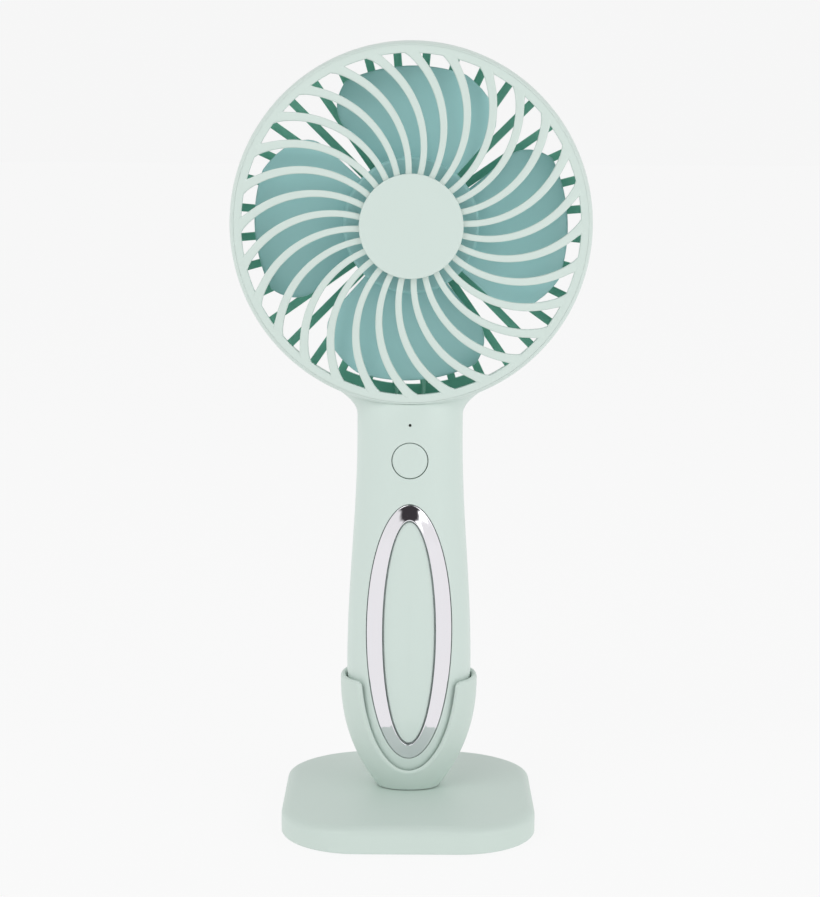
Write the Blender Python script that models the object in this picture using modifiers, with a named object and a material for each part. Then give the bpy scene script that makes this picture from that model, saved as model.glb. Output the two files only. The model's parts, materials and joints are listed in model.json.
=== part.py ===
"""Handheld electric fan standing in its desk cradle.

Metres, +Z up, front towards -Y. The origin is under the middle of the stand, on the table.
"""

import math

import bmesh
import bpy
from mathutils import Matrix, Vector

MM = 0.001

# Fits
GAP = 0.3 * MM              # between pieces that touch or nest
RUNNING_GAP = 0.35 * MM     # round the handle in its cradle

# Head
HEAD_BOTTOM_Z = 120.7 * MM  # where the head ring meets the neck
HEAD_RADIUS = 50.5 * MM
HEAD_Z = HEAD_BOTTOM_Z + HEAD_RADIUS    # height of the fan axis
HEAD_WALL = 1.5 * MM
HEAD_FRONT_Y = -11.0 * MM   # face of the head ring
HEAD_BACK_Y = 12.0 * MM     # rim of the rear grille
HEAD_EDGE = 2.6 * MM        # rounding of the ring's front and back edges

# Front grille
GRILLE_RIBS = 28
GRILLE_RIM = 3.65 * MM      # from the head's outer edge to the openings
GRILLE_OPEN_RADIUS = HEAD_RADIUS - GRILLE_RIM
GRILLE_THICKNESS = 1.6 * MM
GRILLE_DOME = 4.6 * MM      # how far the hub stands ahead of the ring
RIB_WIDTH = 1.9 * MM
RIB_BEND_RADIUS = 28.5 * MM
RIB_START_HEADING = -5.0    # degrees from radial at the hub
LEDGE_WIDTH = 1.5 * MM
HUB_RADIUS = 14.3 * MM
HUB_THICKNESS = 1.4 * MM

# Rear grille
BACK_RIBS = 36
BACK_RIB_WIDTH = 2.3 * MM
BACK_GRILLE_THICKNESS = 2.0 * MM
BACK_DOME = 5.0 * MM
MOTOR_CUP_WALL = 1.8 * MM
MOTOR_CUP_FRONT_Y = 6.6 * MM

# Motor
MOTOR_RADIUS = 12.0 * MM
MOTOR_FRONT_Y = -4.5 * MM
MOTOR_LENGTH = 15.5 * MM
MOTOR_WALL = 0.8 * MM
END_CAP_THICKNESS = 1.6 * MM
SHAFT_RADIUS = 1.0 * MM
BUSH_RADIUS = 2.6 * MM
BUSH_LENGTH = 2.0 * MM
MAGNET_THICKNESS = 2.0 * MM
MAGNET_LENGTH = 9.0 * MM
ARMATURE_RADIUS = 7.6 * MM
ARMATURE_LENGTH = 6.4 * MM
COMMUTATOR_RADIUS = 3.0 * MM
COMMUTATOR_LENGTH = 2.4 * MM

# Impeller
BLADES = 4
BLADE_CLEARANCE = 3.05 * MM # inside the radius of the front openings
BLADE_TIP_RADIUS = GRILLE_OPEN_RADIUS - BLADE_CLEARANCE
BLADE_THICKNESS = 1.4 * MM
BLADE_FRONT_Y = -5.6 * MM
BLADE_BACK_Y = 4.6 * MM
IMPELLER_HUB_RADIUS = 18.9 * MM
IMPELLER_HUB_FRONT_Y = -8.6 * MM
IMPELLER_HUB_WALL = 1.4 * MM

# Handle
HANDLE_BOTTOM_Z = 12.0 * MM
BELLY_Z = 45.0 * MM
BELLY_HALF_WIDTH = 17.8 * MM
BELLY_HALF_DEPTH = 13.0 * MM
NECK_Z = 113.0 * MM
NECK_HALF_WIDTH = 14.95 * MM
NECK_HALF_DEPTH = 12.0 * MM
HANDLE_WALL = 2.2 * MM
SECTION_POWER = 2.3         # 2 is an ellipse, larger is squarer
SECTION_POINTS = 28
FLARE_DROP = 3.0 * MM       # the neck starts to widen this far below the head
FLARE_RADIUS = 4.3 * MM
NECK_DIP_RADIUS = 22.0 * MM # hollow in front of and behind the neck under the head

# Handle fittings
TRIM_Z = 56.65 * MM
TRIM_HALF_HEIGHT = 37.05 * MM
TRIM_HALF_WIDTH = 12.24 * MM
TRIM_BAND = 4.9 * MM
TRIM_PROUD = 0.5 * MM
POCKET_DEPTH = 1.2 * MM
BUTTON_Z = 105.9 * MM
BUTTON_RADIUS = 4.95 * MM
BUTTON_TRAVEL = 0.5 * MM
BUTTON_FLANGE = 0.6 * MM
LED_Z = 115.9 * MM
LED_HOLE_RADIUS = 0.65 * MM
PORT_Z = 101.0 * MM
PORT_WIDTH = 7.6 * MM
PORT_HEIGHT = 2.8 * MM

# Battery and boards
CELL_RADIUS = 9.0 * MM
CELL_LENGTH = 65.0 * MM
CELL_BOTTOM_Z = 28.0 * MM
TAB_THICKNESS = 0.4 * MM
BOARD_THICKNESS = 1.2 * MM
BOARD_WIDTH = 12.0 * MM
BOARD_BOTTOM_Z = 97.0 * MM
BOARD_TOP_Z = 117.0 * MM
BOARD_Y = -4.4 * MM
CHARGE_BOARD_Y = 4.6 * MM
SWITCH_SIZE = 5.0 * MM
SWITCH_HEIGHT = 2.2 * MM
LEAD_RADIUS = 0.55 * MM
LEAD_END_GAP = 0.3 * MM     # a lead meets its board at a slant

# Stand
CRADLE_RIM_Z = 42.4 * MM
CRADLE_RIM_HALF_WIDTH = 19.65 * MM
CRADLE_RIM_HALF_DEPTH = 15.6 * MM
CRADLE_FOOT_HALF_WIDTH = 9.2 * MM
CRADLE_FOOT_HALF_DEPTH = 7.6 * MM
CRADLE_TAPER_POWER = 2.35
CRADLE_WALL = 1.65 * MM
CRADLE_FLOOR = 2.0 * MM
CRADLE_MOUTH_HALF_WIDTH = 14.3 * MM
CRADLE_MOUTH_BOTTOM_Z = 16.3 * MM
CRADLE_MOUTH_RISE = 32.0 * MM   # half height of the mouth's ellipse, centred above the rim
BASE_WIDTH = 71.8 * MM
BASE_DEPTH = 76.0 * MM
BASE_TOP_Z = 9.3 * MM
BASE_BOTTOM_Z = 0.7 * MM
BASE_CORNER = 24.0 * MM
BASE_EDGE = 2.4 * MM
BASE_WALL = 2.0 * MM
PLATE_THICKNESS = 1.4 * MM
FOOT_RADIUS = 4.5 * MM
FOOT_INSET = 15.0 * MM
WEIGHT_RADIUS = 21.0 * MM
WEIGHT_THICKNESS = 3.0 * MM

# Screws
SCREW_RADIUS = 1.0 * MM
SCREW_HEAD_RADIUS = 1.9 * MM
SCREW_HEAD_HEIGHT = 1.1 * MM
BOSS_RADIUS = 2.4 * MM
REAR_BOSS_RADIUS = 3.0 * MM
SCREW_SEAT_Y = 6.0 * MM
UPPER_SCREW_X = 10.2 * MM
UPPER_SCREW_Z = 112.0 * MM
LOWER_SCREW_Z = 20.0 * MM

ROUND = 48                  # segments round the head
MIDDLE_ROUND = 24           # round the motor, button and battery
SMALL_ROUND = 12            # round bosses, pads and bushes
SCREW_ROUND = 8


# ---------------------------------------------------------------- scene

for old in list(bpy.data.objects):
    bpy.data.objects.remove(old, do_unlink=True)

PARTS = bpy.data.collections.new("handheld_fan")
CUTTERS = bpy.data.collections.new("cutters")
bpy.context.scene.collection.children.link(PARTS)
bpy.context.scene.collection.children.link(CUTTERS)


def paint(name, colour, roughness=0.45, metallic=0.0):
    """A Principled material; every piece has its own."""
    material = bpy.data.materials.new(name)
    material.use_nodes = True
    shader = material.node_tree.nodes["Principled BSDF"]
    shader.inputs["Base Color"].default_value = (*colour, 1.0)
    shader.inputs["Roughness"].default_value = roughness
    shader.inputs["Metallic"].default_value = metallic
    return material


MINT = (0.66, 0.78, 0.71)
TEAL = (0.22, 0.46, 0.45)
STEEL = (0.62, 0.62, 0.64)
BRASS = (0.72, 0.52, 0.22)
COPPER = (0.72, 0.33, 0.16)
DARK = (0.03, 0.03, 0.03)
BOARD_GREEN = (0.02, 0.16, 0.06)


# ---------------------------------------------------------------- tools

def place(obj, is_cutter=False):
    """Link a finished object to its collection."""
    for collection in list(obj.users_collection):
        collection.objects.unlink(obj)
    (CUTTERS if is_cutter else PARTS).objects.link(obj)
    if is_cutter:
        obj.hide_render = True
        obj.display_type = "WIRE"
    return obj


def finish(obj, colour, roughness=0.45, metallic=0.0):
    """Give a piece its material and smooth round surfaces."""
    obj.data.materials.clear()
    obj.data.materials.append(paint(obj.name + "_finish", colour, roughness, metallic))
    if obj.type == "MESH":
        obj.data.shade_smooth()
        obj.data.set_sharp_from_angle(angle=math.radians(35))
    return obj


def from_bmesh(name, bm, is_cutter=False):
    """Turn a bmesh into a linked object."""
    mesh = bpy.data.meshes.new(name)
    bm.to_mesh(mesh)
    bm.free()
    return place(bpy.data.objects.new(name, mesh), is_cutter)


def bake(obj, is_cutter=False):
    """Replace an object by the mesh it evaluates to, in world space, with its caps welded."""
    bpy.context.view_layer.update()
    graph = bpy.context.evaluated_depsgraph_get()
    mesh = bpy.data.meshes.new_from_object(obj.evaluated_get(graph))
    mesh.transform(obj.matrix_world)
    name = obj.name
    bpy.data.objects.remove(obj, do_unlink=True)
    bm = bmesh.new()
    bm.from_mesh(mesh)
    bmesh.ops.remove_doubles(bm, verts=bm.verts, dist=0.00001)
    bmesh.ops.recalc_face_normals(bm, faces=bm.faces)
    bm.to_mesh(mesh)
    bm.free()
    mesh.name = name
    return place(bpy.data.objects.new(name, mesh), is_cutter)


def boolean(target, tool, operation="DIFFERENCE"):
    """Cut, join or intersect a piece with a guide object."""
    modifier = target.modifiers.new(tool.name, "BOOLEAN")
    modifier.operation = operation
    modifier.object = tool
    modifier.solver = "EXACT"
    return target


def boolean_all(target, name, tools, operation="DIFFERENCE"):
    """Cut or join a piece with several guide objects in one step."""
    group = bpy.data.collections.new(name)
    CUTTERS.children.link(group)
    for tool in tools:
        CUTTERS.objects.unlink(tool)
        group.objects.link(tool)
    modifier = target.modifiers.new(name, "BOOLEAN")
    modifier.operation = operation
    modifier.operand_type = "COLLECTION"
    modifier.collection = group
    modifier.solver = "EXACT"
    return target


def turned(name, profile, centre, segments=SMALL_ROUND, along_y=False, is_cutter=False):
    """A closed turned solid from (radius, height) points.

    The profile runs down its outer side. With along_y the axis is parallel to the fan axis,
    a point's height is its distance ahead of the centre, towards -Y, and the facets are
    turned by half a step, so that none of their edges lies in the middle plane.
    """
    bm = bmesh.new()
    corners = [bm.verts.new((radius, 0, height)) for radius, height in profile]
    for start, end in zip(corners, corners[1:]):
        bm.edges.new((start, end))
    if profile[0][0] > 0:
        bm.edges.new((corners[-1], corners[0]))
    obj = from_bmesh(name, bm, is_cutter)
    spin = obj.modifiers.new("turn", "SCREW")
    spin.axis = "Z"
    spin.angle = math.tau
    spin.steps = segments
    spin.render_steps = segments
    spin.use_merge_vertices = True
    spin.merge_threshold = 0.00001
    obj.location = centre
    if along_y:
        obj.rotation_euler = (math.pi / 2, math.pi / segments, 0)
    return obj


def disc_profile(radius, low, high, bore=0.0):
    """Profile of a plain disc, or of a ring when it has a bore."""
    if bore > 0:
        return [(radius, high), (radius, low), (bore, low), (bore, high)]
    return [(0, high), (radius, high), (radius, low), (0, low)]


def block(name, low, high, is_cutter=False):
    """A box between two opposite corners."""
    bm = bmesh.new()
    bmesh.ops.create_cube(bm, size=1.0)
    low = Vector(low)
    high = Vector(high)
    size = high - low
    bmesh.ops.scale(bm, vec=size, verts=bm.verts)
    bmesh.ops.translate(bm, vec=(low + high) / 2, verts=bm.verts)
    return from_bmesh(name, bm, is_cutter)


def flat_outline(name, outlines, front_y, back_y, is_cutter=False):
    """A plate in the XZ plane from closed outlines of (x, z) points, between two depths."""
    curve = bpy.data.curves.new(name, "CURVE")
    curve.dimensions = "2D"
    curve.fill_mode = "BOTH"
    curve.extrude = (back_y - front_y) / 2
    for outline in outlines:
        spline = curve.splines.new("POLY")
        spline.points.add(len(outline) - 1)
        spline.use_cyclic_u = True
        for point, (x, z) in zip(spline.points, outline):
            point.co = (x, z, 0, 1)
    obj = bpy.data.objects.new(name, curve)
    obj.rotation_euler = (math.pi / 2, 0, 0)
    obj.location = (0, (front_y + back_y) / 2, 0)
    PARTS.objects.link(obj)
    return bake(obj, is_cutter)


def circle_points(radius, count, centre_z=0.0, start=0.0):
    """Points of a circle in the XZ plane, anticlockwise from the front."""
    points = []
    for index in range(count):
        angle = start + math.tau * index / count
        points.append((radius * math.cos(angle), centre_z + radius * math.sin(angle)))
    return points


def oval_points(half_width, half_height, count=36):
    """Points of an upright oval about the trim's centre."""
    points = []
    for index in range(count):
        angle = math.tau * index / count
        points.append((half_width * math.cos(angle), TRIM_Z + half_height * math.sin(angle)))
    return points


def section(half_width, half_depth, z, count=SECTION_POINTS):
    """One level section of the handle or cradle, a rounded oval."""
    ring = []
    for index in range(count):
        angle = math.tau * index / count
        across = math.cos(angle)
        along = math.sin(angle)
        x = half_width * math.copysign(abs(across) ** (2 / SECTION_POWER), across)
        y = half_depth * math.copysign(abs(along) ** (2 / SECTION_POWER), along)
        ring.append((x, y, z))
    return ring


def loft(name, rings, is_cutter=False):
    """A closed solid through level sections from bottom to top."""
    bm = bmesh.new()
    loops = [[bm.verts.new(point) for point in ring] for ring in rings]
    for lower, upper in zip(loops, loops[1:]):
        count = len(lower)
        for index in range(count):
            after = (index + 1) % count
            bm.faces.new((lower[index], lower[after], upper[after], upper[index]))
    bm.faces.new(list(reversed(loops[0])))
    bm.faces.new(loops[-1])
    return from_bmesh(name, bm, is_cutter)


def wire(name, route, radius=LEAD_RADIUS):
    """A round insulated lead through hand-placed points, with square ends."""
    curve = bpy.data.curves.new(name, "CURVE")
    curve.dimensions = "3D"
    curve.bevel_depth = radius
    curve.bevel_resolution = 2
    curve.use_fill_caps = True
    spline = curve.splines.new("POLY")
    spline.points.add(len(route) - 1)
    for point, co in zip(spline.points, route):
        point.co = (*co, 1)
    obj = bpy.data.objects.new(name, curve)
    PARTS.objects.link(obj)
    return bake(obj)


# ---------------------------------------------------------------- shapes that pieces share

def cradle_taper(z):
    """How far the cradle has opened at a height, 0 at its foot and 1 at its rim."""
    rise = (z - BASE_TOP_Z) / (CRADLE_RIM_Z - BASE_TOP_Z)
    rise = min(max(rise, 0.0), 1.0)
    return 1.0 - (1.0 - rise) ** CRADLE_TAPER_POWER


def cradle_section(z, inset=0.0):
    """Half width and half depth of the cradle at a height."""
    open_share = cradle_taper(z)
    half_width = CRADLE_FOOT_HALF_WIDTH
    half_width += (CRADLE_RIM_HALF_WIDTH - CRADLE_FOOT_HALF_WIDTH) * open_share
    half_depth = CRADLE_FOOT_HALF_DEPTH
    half_depth += (CRADLE_RIM_HALF_DEPTH - CRADLE_FOOT_HALF_DEPTH) * open_share
    return half_width - inset, half_depth - inset


def handle_section(z, inset=0.0):
    """Half width and half depth of the handle at a height."""
    rise = (z - BELLY_Z) / (NECK_Z - BELLY_Z)
    rise = min(max(rise, 0.0), 1.0)
    slim = 0.5 - 0.5 * math.cos(math.pi * rise)
    half_width = BELLY_HALF_WIDTH + (NECK_HALF_WIDTH - BELLY_HALF_WIDTH) * slim
    half_depth = BELLY_HALF_DEPTH + (NECK_HALF_DEPTH - BELLY_HALF_DEPTH) * slim
    if z < CRADLE_RIM_Z:
        cup_width, cup_depth = cradle_section(z, CRADLE_WALL + RUNNING_GAP)
        half_width = min(half_width, cup_width)
        half_depth = min(half_depth, cup_depth)
    if z > NECK_Z:
        half_depth -= (z - NECK_Z) ** 2 / (2 * NECK_DIP_RADIUS)
    flare_start = HEAD_BOTTOM_Z - FLARE_DROP
    if z > flare_start:
        half_width += (z - flare_start) ** 2 / (2 * FLARE_RADIUS)
    return half_width - inset, half_depth - inset


def handle_solid(name, bottom, top, inset=0.0, levels=13):
    """The handle's outer shape between two heights, grown or shrunk by an inset."""
    rings = []
    for index in range(levels + 1):
        share = 0.5 - 0.5 * math.cos(math.pi * index / levels)
        z = bottom + (top - bottom) * share
        half_width, half_depth = handle_section(z, inset)
        rings.append(section(half_width, half_depth, z))
    return loft(name, rings, is_cutter=True)


# ---------------------------------------------------------------- stand

def rounded_square(half_width, half_depth, corner, steps=5):
    """Outline of a square with round corners as (x, y) points, anticlockwise."""
    points = []
    centres = ((1, 1), (-1, 1), (-1, -1), (1, -1))
    for quarter, (side_x, side_y) in enumerate(centres):
        centre_x = side_x * (half_width - corner)
        centre_y = side_y * (half_depth - corner)
        for step in range(steps + 1):
            angle = math.radians(90 * quarter + 90 * step / steps)
            points.append((centre_x + corner * math.cos(angle), centre_y + corner * math.sin(angle)))
    return points


def square_rings(levels):
    """Rings of a rounded square from (inset, height) pairs."""
    rings = []
    for inset, z in levels:
        outline = rounded_square(BASE_WIDTH / 2 - inset, BASE_DEPTH / 2 - inset, BASE_CORNER - inset)
        rings.append([(x, y, z) for x, y in outline])
    return rings


def foot_places():
    """Centres of the rubber feet and of the base screws, one in each corner."""
    reach_x = BASE_WIDTH / 2 - FOOT_INSET
    reach_y = BASE_DEPTH / 2 - FOOT_INSET
    return [(reach_x, reach_y), (-reach_x, reach_y), (-reach_x, -reach_y), (reach_x, -reach_y)]


PLATE_LOW = BASE_BOTTOM_Z + 0.6 * MM
PLATE_HIGH = PLATE_LOW + PLATE_THICKNESS
CEILING_Z = BASE_TOP_Z - BASE_WALL
SCREW_SPREAD = 12.5 * MM    # a base screw stands this far outside its foot, along X


def screw_places():
    """Centres of the base screws, each beside a foot and nearer the middle line."""
    places = []
    for x, y in foot_places():
        places.append((x - math.copysign(SCREW_SPREAD, x), y))
    return places


def build_base_cover():
    """The moulding that is seen: a shell open below, with a boss for each screw."""
    edge = BASE_EDGE
    levels = [(0.0, BASE_BOTTOM_Z), (0.0, BASE_TOP_Z - edge)]
    for step in (1, 2):
        angle = math.radians(45 * step)
        levels.append((edge - edge * math.cos(angle), BASE_TOP_Z - edge + edge * math.sin(angle)))
    outside = loft("base_cover", square_rings(levels))
    inside = loft("base_hollow", square_rings([
        (BASE_WALL, BASE_BOTTOM_Z - GAP),
        (BASE_WALL, CEILING_Z - 1 * MM),
        (BASE_WALL + 1 * MM, CEILING_Z),
    ]), is_cutter=True)
    boolean(outside, inside)
    for index, (x, y) in enumerate(screw_places(), 1):
        boss = disc_profile(BOSS_RADIUS, PLATE_HIGH + GAP, CEILING_Z + 0.5 * MM)
        pilot = disc_profile(SCREW_RADIUS + GAP, PLATE_HIGH, CEILING_Z - 0.6 * MM)
        boolean(outside, turned(f"base_boss_{index}", boss, (x, y, 0), is_cutter=True), "UNION")
        boolean(outside, turned(f"base_pilot_{index}", pilot, (x, y, 0), is_cutter=True))
    hole = disc_profile(SCREW_RADIUS + GAP, CEILING_Z - 1 * MM, BASE_TOP_Z + 1 * MM)
    boolean(outside, turned("cradle_screw_hole", hole, (0, 0, 0), is_cutter=True))
    finish(outside, MINT, 0.5)


def build_base_plate():
    """Bottom plate inside the cover, with its screw holes."""
    inset = BASE_WALL + GAP
    plate = loft("base_plate", square_rings([(inset, PLATE_LOW), (inset, PLATE_HIGH)]))
    for index, (x, y) in enumerate(screw_places(), 1):
        hole = disc_profile(SCREW_RADIUS + GAP, PLATE_LOW - 1 * MM, PLATE_HIGH + 1 * MM)
        boolean(plate, turned(f"plate_hole_{index}", hole, (x, y, 0), is_cutter=True))
        seat = disc_profile(SCREW_HEAD_RADIUS + GAP, PLATE_LOW - 1 * MM, PLATE_LOW + 0.5 * MM)
        boolean(plate, turned(f"plate_seat_{index}", seat, (x, y, 0), is_cutter=True))
    finish(plate, (0.58, 0.68, 0.63), 0.6)


def build_base_weight():
    """Steel disc on the plate that keeps the stand down, drilled for the cradle screw."""
    low = PLATE_HIGH + GAP
    bore = SCREW_HEAD_RADIUS + 1 * MM
    weight = turned("base_weight", disc_profile(WEIGHT_RADIUS, low, low + WEIGHT_THICKNESS, bore),
                    (0, 0, 0), MIDDLE_ROUND)
    for index, (x, y) in enumerate(screw_places(), 1):
        relief = disc_profile(BOSS_RADIUS + 1 * MM, low - 1 * MM, CEILING_Z)
        boolean(weight, turned(f"weight_relief_{index}", relief, (x, y, 0), is_cutter=True))
    finish(weight, (0.35, 0.36, 0.38), 0.4, 1.0)


def build_feet():
    """Four rubber pads under the plate."""
    top = PLATE_LOW - GAP
    for index, (x, y) in enumerate(foot_places(), 1):
        edge = 0.2 * MM
        profile = [(0, top), (FOOT_RADIUS, top), (FOOT_RADIUS, edge), (FOOT_RADIUS - edge, 0), (0, 0)]
        foot = turned(f"foot_pad_{index}", profile, (x, y, 0))
        finish(foot, DARK, 0.85)


def screw(name, centre, under_head, length, towards, colour=STEEL):
    """A pan-head screw along an axis; the shank runs from under its head, away from towards."""
    profile = [
        (0, SCREW_HEAD_HEIGHT),
        (SCREW_HEAD_RADIUS * 0.8, SCREW_HEAD_HEIGHT),
        (SCREW_HEAD_RADIUS, SCREW_HEAD_HEIGHT * 0.55),
        (SCREW_HEAD_RADIUS, 0),
        (SCREW_RADIUS, 0),
        (SCREW_RADIUS, -length + SCREW_RADIUS),
        (0, -length),
    ]
    obj = turned(name, profile, Vector(centre) + Vector(towards) * under_head, SCREW_ROUND)
    obj.rotation_euler = Vector(towards).to_track_quat("Z", "Y").to_euler()
    return finish(obj, colour, 0.35, 1.0)


def build_stand_screws():
    """Screws from below: four through the plate and one through the cover into the cradle."""
    down = (0, 0, -1)
    seat = -(PLATE_LOW + 0.5 * MM - GAP)
    for index, (x, y) in enumerate(screw_places(), 1):
        reach = CEILING_Z - 1.2 * MM + seat
        screw(f"base_screw_{index}", (x, y, 0), seat, reach, down)
    under = -(CEILING_Z - GAP)
    screw("cradle_screw", (0, 0, 0), under, BASE_TOP_Z + CRADLE_FLOOR + under, down)


def build_cradle():
    """The cup that holds the handle, cut away at the front in a U."""
    foot = BASE_TOP_Z + GAP
    rim_round = 0.9 * MM
    rings = []
    levels = 8
    for index in range(levels + 1):
        z = foot + (CRADLE_RIM_Z - rim_round - foot) * index / levels
        rings.append(section(*cradle_section(z), z))
    rings.append(section(*cradle_section(CRADLE_RIM_Z, rim_round * 0.3), CRADLE_RIM_Z - rim_round * 0.3))
    rings.append(section(*cradle_section(CRADLE_RIM_Z, rim_round), CRADLE_RIM_Z))
    cradle = loft("cradle", rings)
    floor = foot + CRADLE_FLOOR
    hollow = []
    for index in range(levels + 2):
        z = floor + (CRADLE_RIM_Z + 1 * MM - floor) * index / (levels + 1)
        hollow.append(section(*cradle_section(min(z, CRADLE_RIM_Z), CRADLE_WALL), z))
    boolean(cradle, loft("cradle_hollow", hollow, is_cutter=True))

    middle = CRADLE_MOUTH_BOTTOM_Z + CRADLE_MOUTH_RISE
    above = CRADLE_RIM_Z + 1.5 * MM
    start = math.asin((middle - above) / CRADLE_MOUTH_RISE)
    mouth = []
    for step in range(0, 12):
        angle = start + (math.pi / 2 - start) * step / 11
        mouth.append((CRADLE_MOUTH_HALF_WIDTH * math.cos(angle), middle - CRADLE_MOUTH_RISE * math.sin(angle)))
    mirrored = [(-x, z) for x, z in reversed(mouth[:-1])]
    outline = mouth + mirrored
    boolean(cradle, flat_outline("cradle_mouth", [outline], -CRADLE_RIM_HALF_DEPTH - 2 * MM, -2 * MM,
                                 is_cutter=True))
    pilot = disc_profile(SCREW_RADIUS + GAP, foot - 1 * MM, floor + 1 * MM)
    boolean(cradle, turned("cradle_pilot", pilot, (0, 0, 0), is_cutter=True))
    finish(cradle, MINT, 0.48)


# ---------------------------------------------------------------- shells

PARTING = GAP / 2
BORE_RADIUS = HEAD_RADIUS - HEAD_WALL
FAR = 120 * MM              # beyond the fan in any direction


def surface_depth(x, z, inset=0.0):
    """Depth of the handle's surface from its middle plane at a point of the front view."""
    half_width, half_depth = handle_section(z, inset)
    across = min(abs(x) / half_width, 1.0)
    return half_depth * (1 - across ** SECTION_POWER) ** (1 / SECTION_POWER)


def shell_screw_places():
    """Screws that hold the two shells: one low, two beside the neck."""
    return [(0, LOWER_SCREW_Z), (UPPER_SCREW_X, UPPER_SCREW_Z), (-UPPER_SCREW_X, UPPER_SCREW_Z)]


def across_fan(name, radius, front_y, back_y, x=0.0, z=HEAD_Z, segments=SMALL_ROUND, bore=0.0,
               is_cutter=True):
    """A plain cylinder or ring along the fan's axis direction between two depths."""
    profile = disc_profile(radius, -back_y, -front_y, bore)
    return turned(name, profile, (x, 0, z), segments, along_y=True, is_cutter=is_cutter)


def hollow_handle(name):
    """The handle's wall all round, cut away where the head ring goes."""
    top = HEAD_BOTTOM_Z + 5.5 * MM
    body = handle_solid(name, HANDLE_BOTTOM_Z, top)
    place(body)
    body.hide_render = False
    body.display_type = "TEXTURED"
    bore = across_fan(f"{name}_bore", BORE_RADIUS + HEAD_WALL / 2, -FAR, FAR, segments=ROUND)
    cavity_top = HEAD_BOTTOM_Z - 1.4 * MM
    cavity = handle_solid(f"{name}_cavity", HANDLE_BOTTOM_Z + HANDLE_WALL, cavity_top, HANDLE_WALL)
    return boolean_all(body, f"{name}_hollow", [bore, cavity])


def edge_arc(outer, face, inward, depth, steps=4):
    """Rounded corner of the head ring from its face to its outer wall, as (radius, height)."""
    points = []
    for step in range(steps + 1):
        angle = math.radians(90 * step / steps)
        points.append((outer - inward * (1 - math.sin(angle)), face - depth * (1 - math.cos(angle))))
    return points


def trim_oval(name, half_width, half_height, hole=None, is_cutter=True):
    """An upright oval prism through the handle's front, with an optional oval hole."""
    outlines = [oval_points(half_width, half_height)]
    if hole:
        outlines.append(oval_points(*hole))
    return flat_outline(name, outlines, -HANDLE_REACH, -POCKET_REACH, is_cutter=is_cutter)


HANDLE_REACH = BELLY_HALF_DEPTH + 3 * MM
POCKET_REACH = BELLY_HALF_DEPTH * 0.35


def build_front_shell():
    """Front of the handle and head ring in one moulding."""
    shell = hollow_handle("front_shell")
    ring = edge_arc(HEAD_RADIUS, -HEAD_FRONT_Y, HEAD_WALL, HEAD_EDGE)
    ledge = -HEAD_FRONT_Y - GRILLE_THICKNESS - GAP
    ring += [
        (HEAD_RADIUS, -1 * MM),
        (BORE_RADIUS, -1 * MM),
        (BORE_RADIUS, ledge - 2.2 * MM),
        (BORE_RADIUS - LEDGE_WIDTH, ledge - 1 * MM),
        (BORE_RADIUS - LEDGE_WIDTH, ledge),
        (BORE_RADIUS, ledge),
    ]
    adds = [turned("front_ring", ring, (0, 0, HEAD_Z), ROUND, along_y=True, is_cutter=True)]
    cuts = []
    for index, (x, z) in enumerate(shell_screw_places(), 1):
        reach = surface_depth(x, z, HANDLE_WALL) + 0.5 * MM
        adds.append(across_fan(f"front_boss_{index}", BOSS_RADIUS, -reach, 1 * MM, x, z))
        pilot_end = -(reach - 1.5 * MM)
        cuts.append(across_fan(f"front_pilot_{index}", SCREW_RADIUS + GAP, pilot_end, 2 * MM, x, z))

    pocket = trim_oval("trim_pocket", TRIM_HALF_WIDTH, TRIM_HALF_HEIGHT)
    boolean(pocket, handle_solid("pocket_floor", HANDLE_BOTTOM_Z, NECK_Z, POCKET_DEPTH))
    cuts.append(pocket)
    wall_back = -surface_depth(BUTTON_RADIUS, BUTTON_Z, HANDLE_WALL) + 1 * MM
    cuts.append(across_fan("button_hole", BUTTON_RADIUS + GAP, -FAR, wall_back, z=BUTTON_Z,
                           segments=MIDDLE_ROUND))
    cuts.append(across_fan("led_hole", LED_HOLE_RADIUS, -FAR, wall_back, z=LED_Z, segments=12))
    cuts.append(block("behind_parting", (-FAR, -PARTING, -FAR), (FAR, FAR, 3 * FAR), is_cutter=True))
    boolean_all(shell, "front_shell_adds", adds, "UNION")
    boolean_all(shell, "front_shell_cuts", cuts)
    finish(shell, MINT, 0.45)


def back_opening_limit(angle_deg):
    """Outer radius of a rear opening; it is shorter over the neck, where the leads pass."""
    over_neck = abs(angle_deg - 270) < 24
    return (BORE_RADIUS - 2.8 * MM) if over_neck else (BORE_RADIUS - 0.2 * MM)


BACK_HUB_RADIUS = MOTOR_RADIUS + GAP + MOTOR_CUP_WALL + 2 * MM


def back_depth(radius):
    """How far the rear grille bulges behind its rim at a radius."""
    share = (BORE_RADIUS - radius) / (BORE_RADIUS - BACK_HUB_RADIUS)
    return BACK_DOME * min(max(share, 0.0), 1.0)


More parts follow.
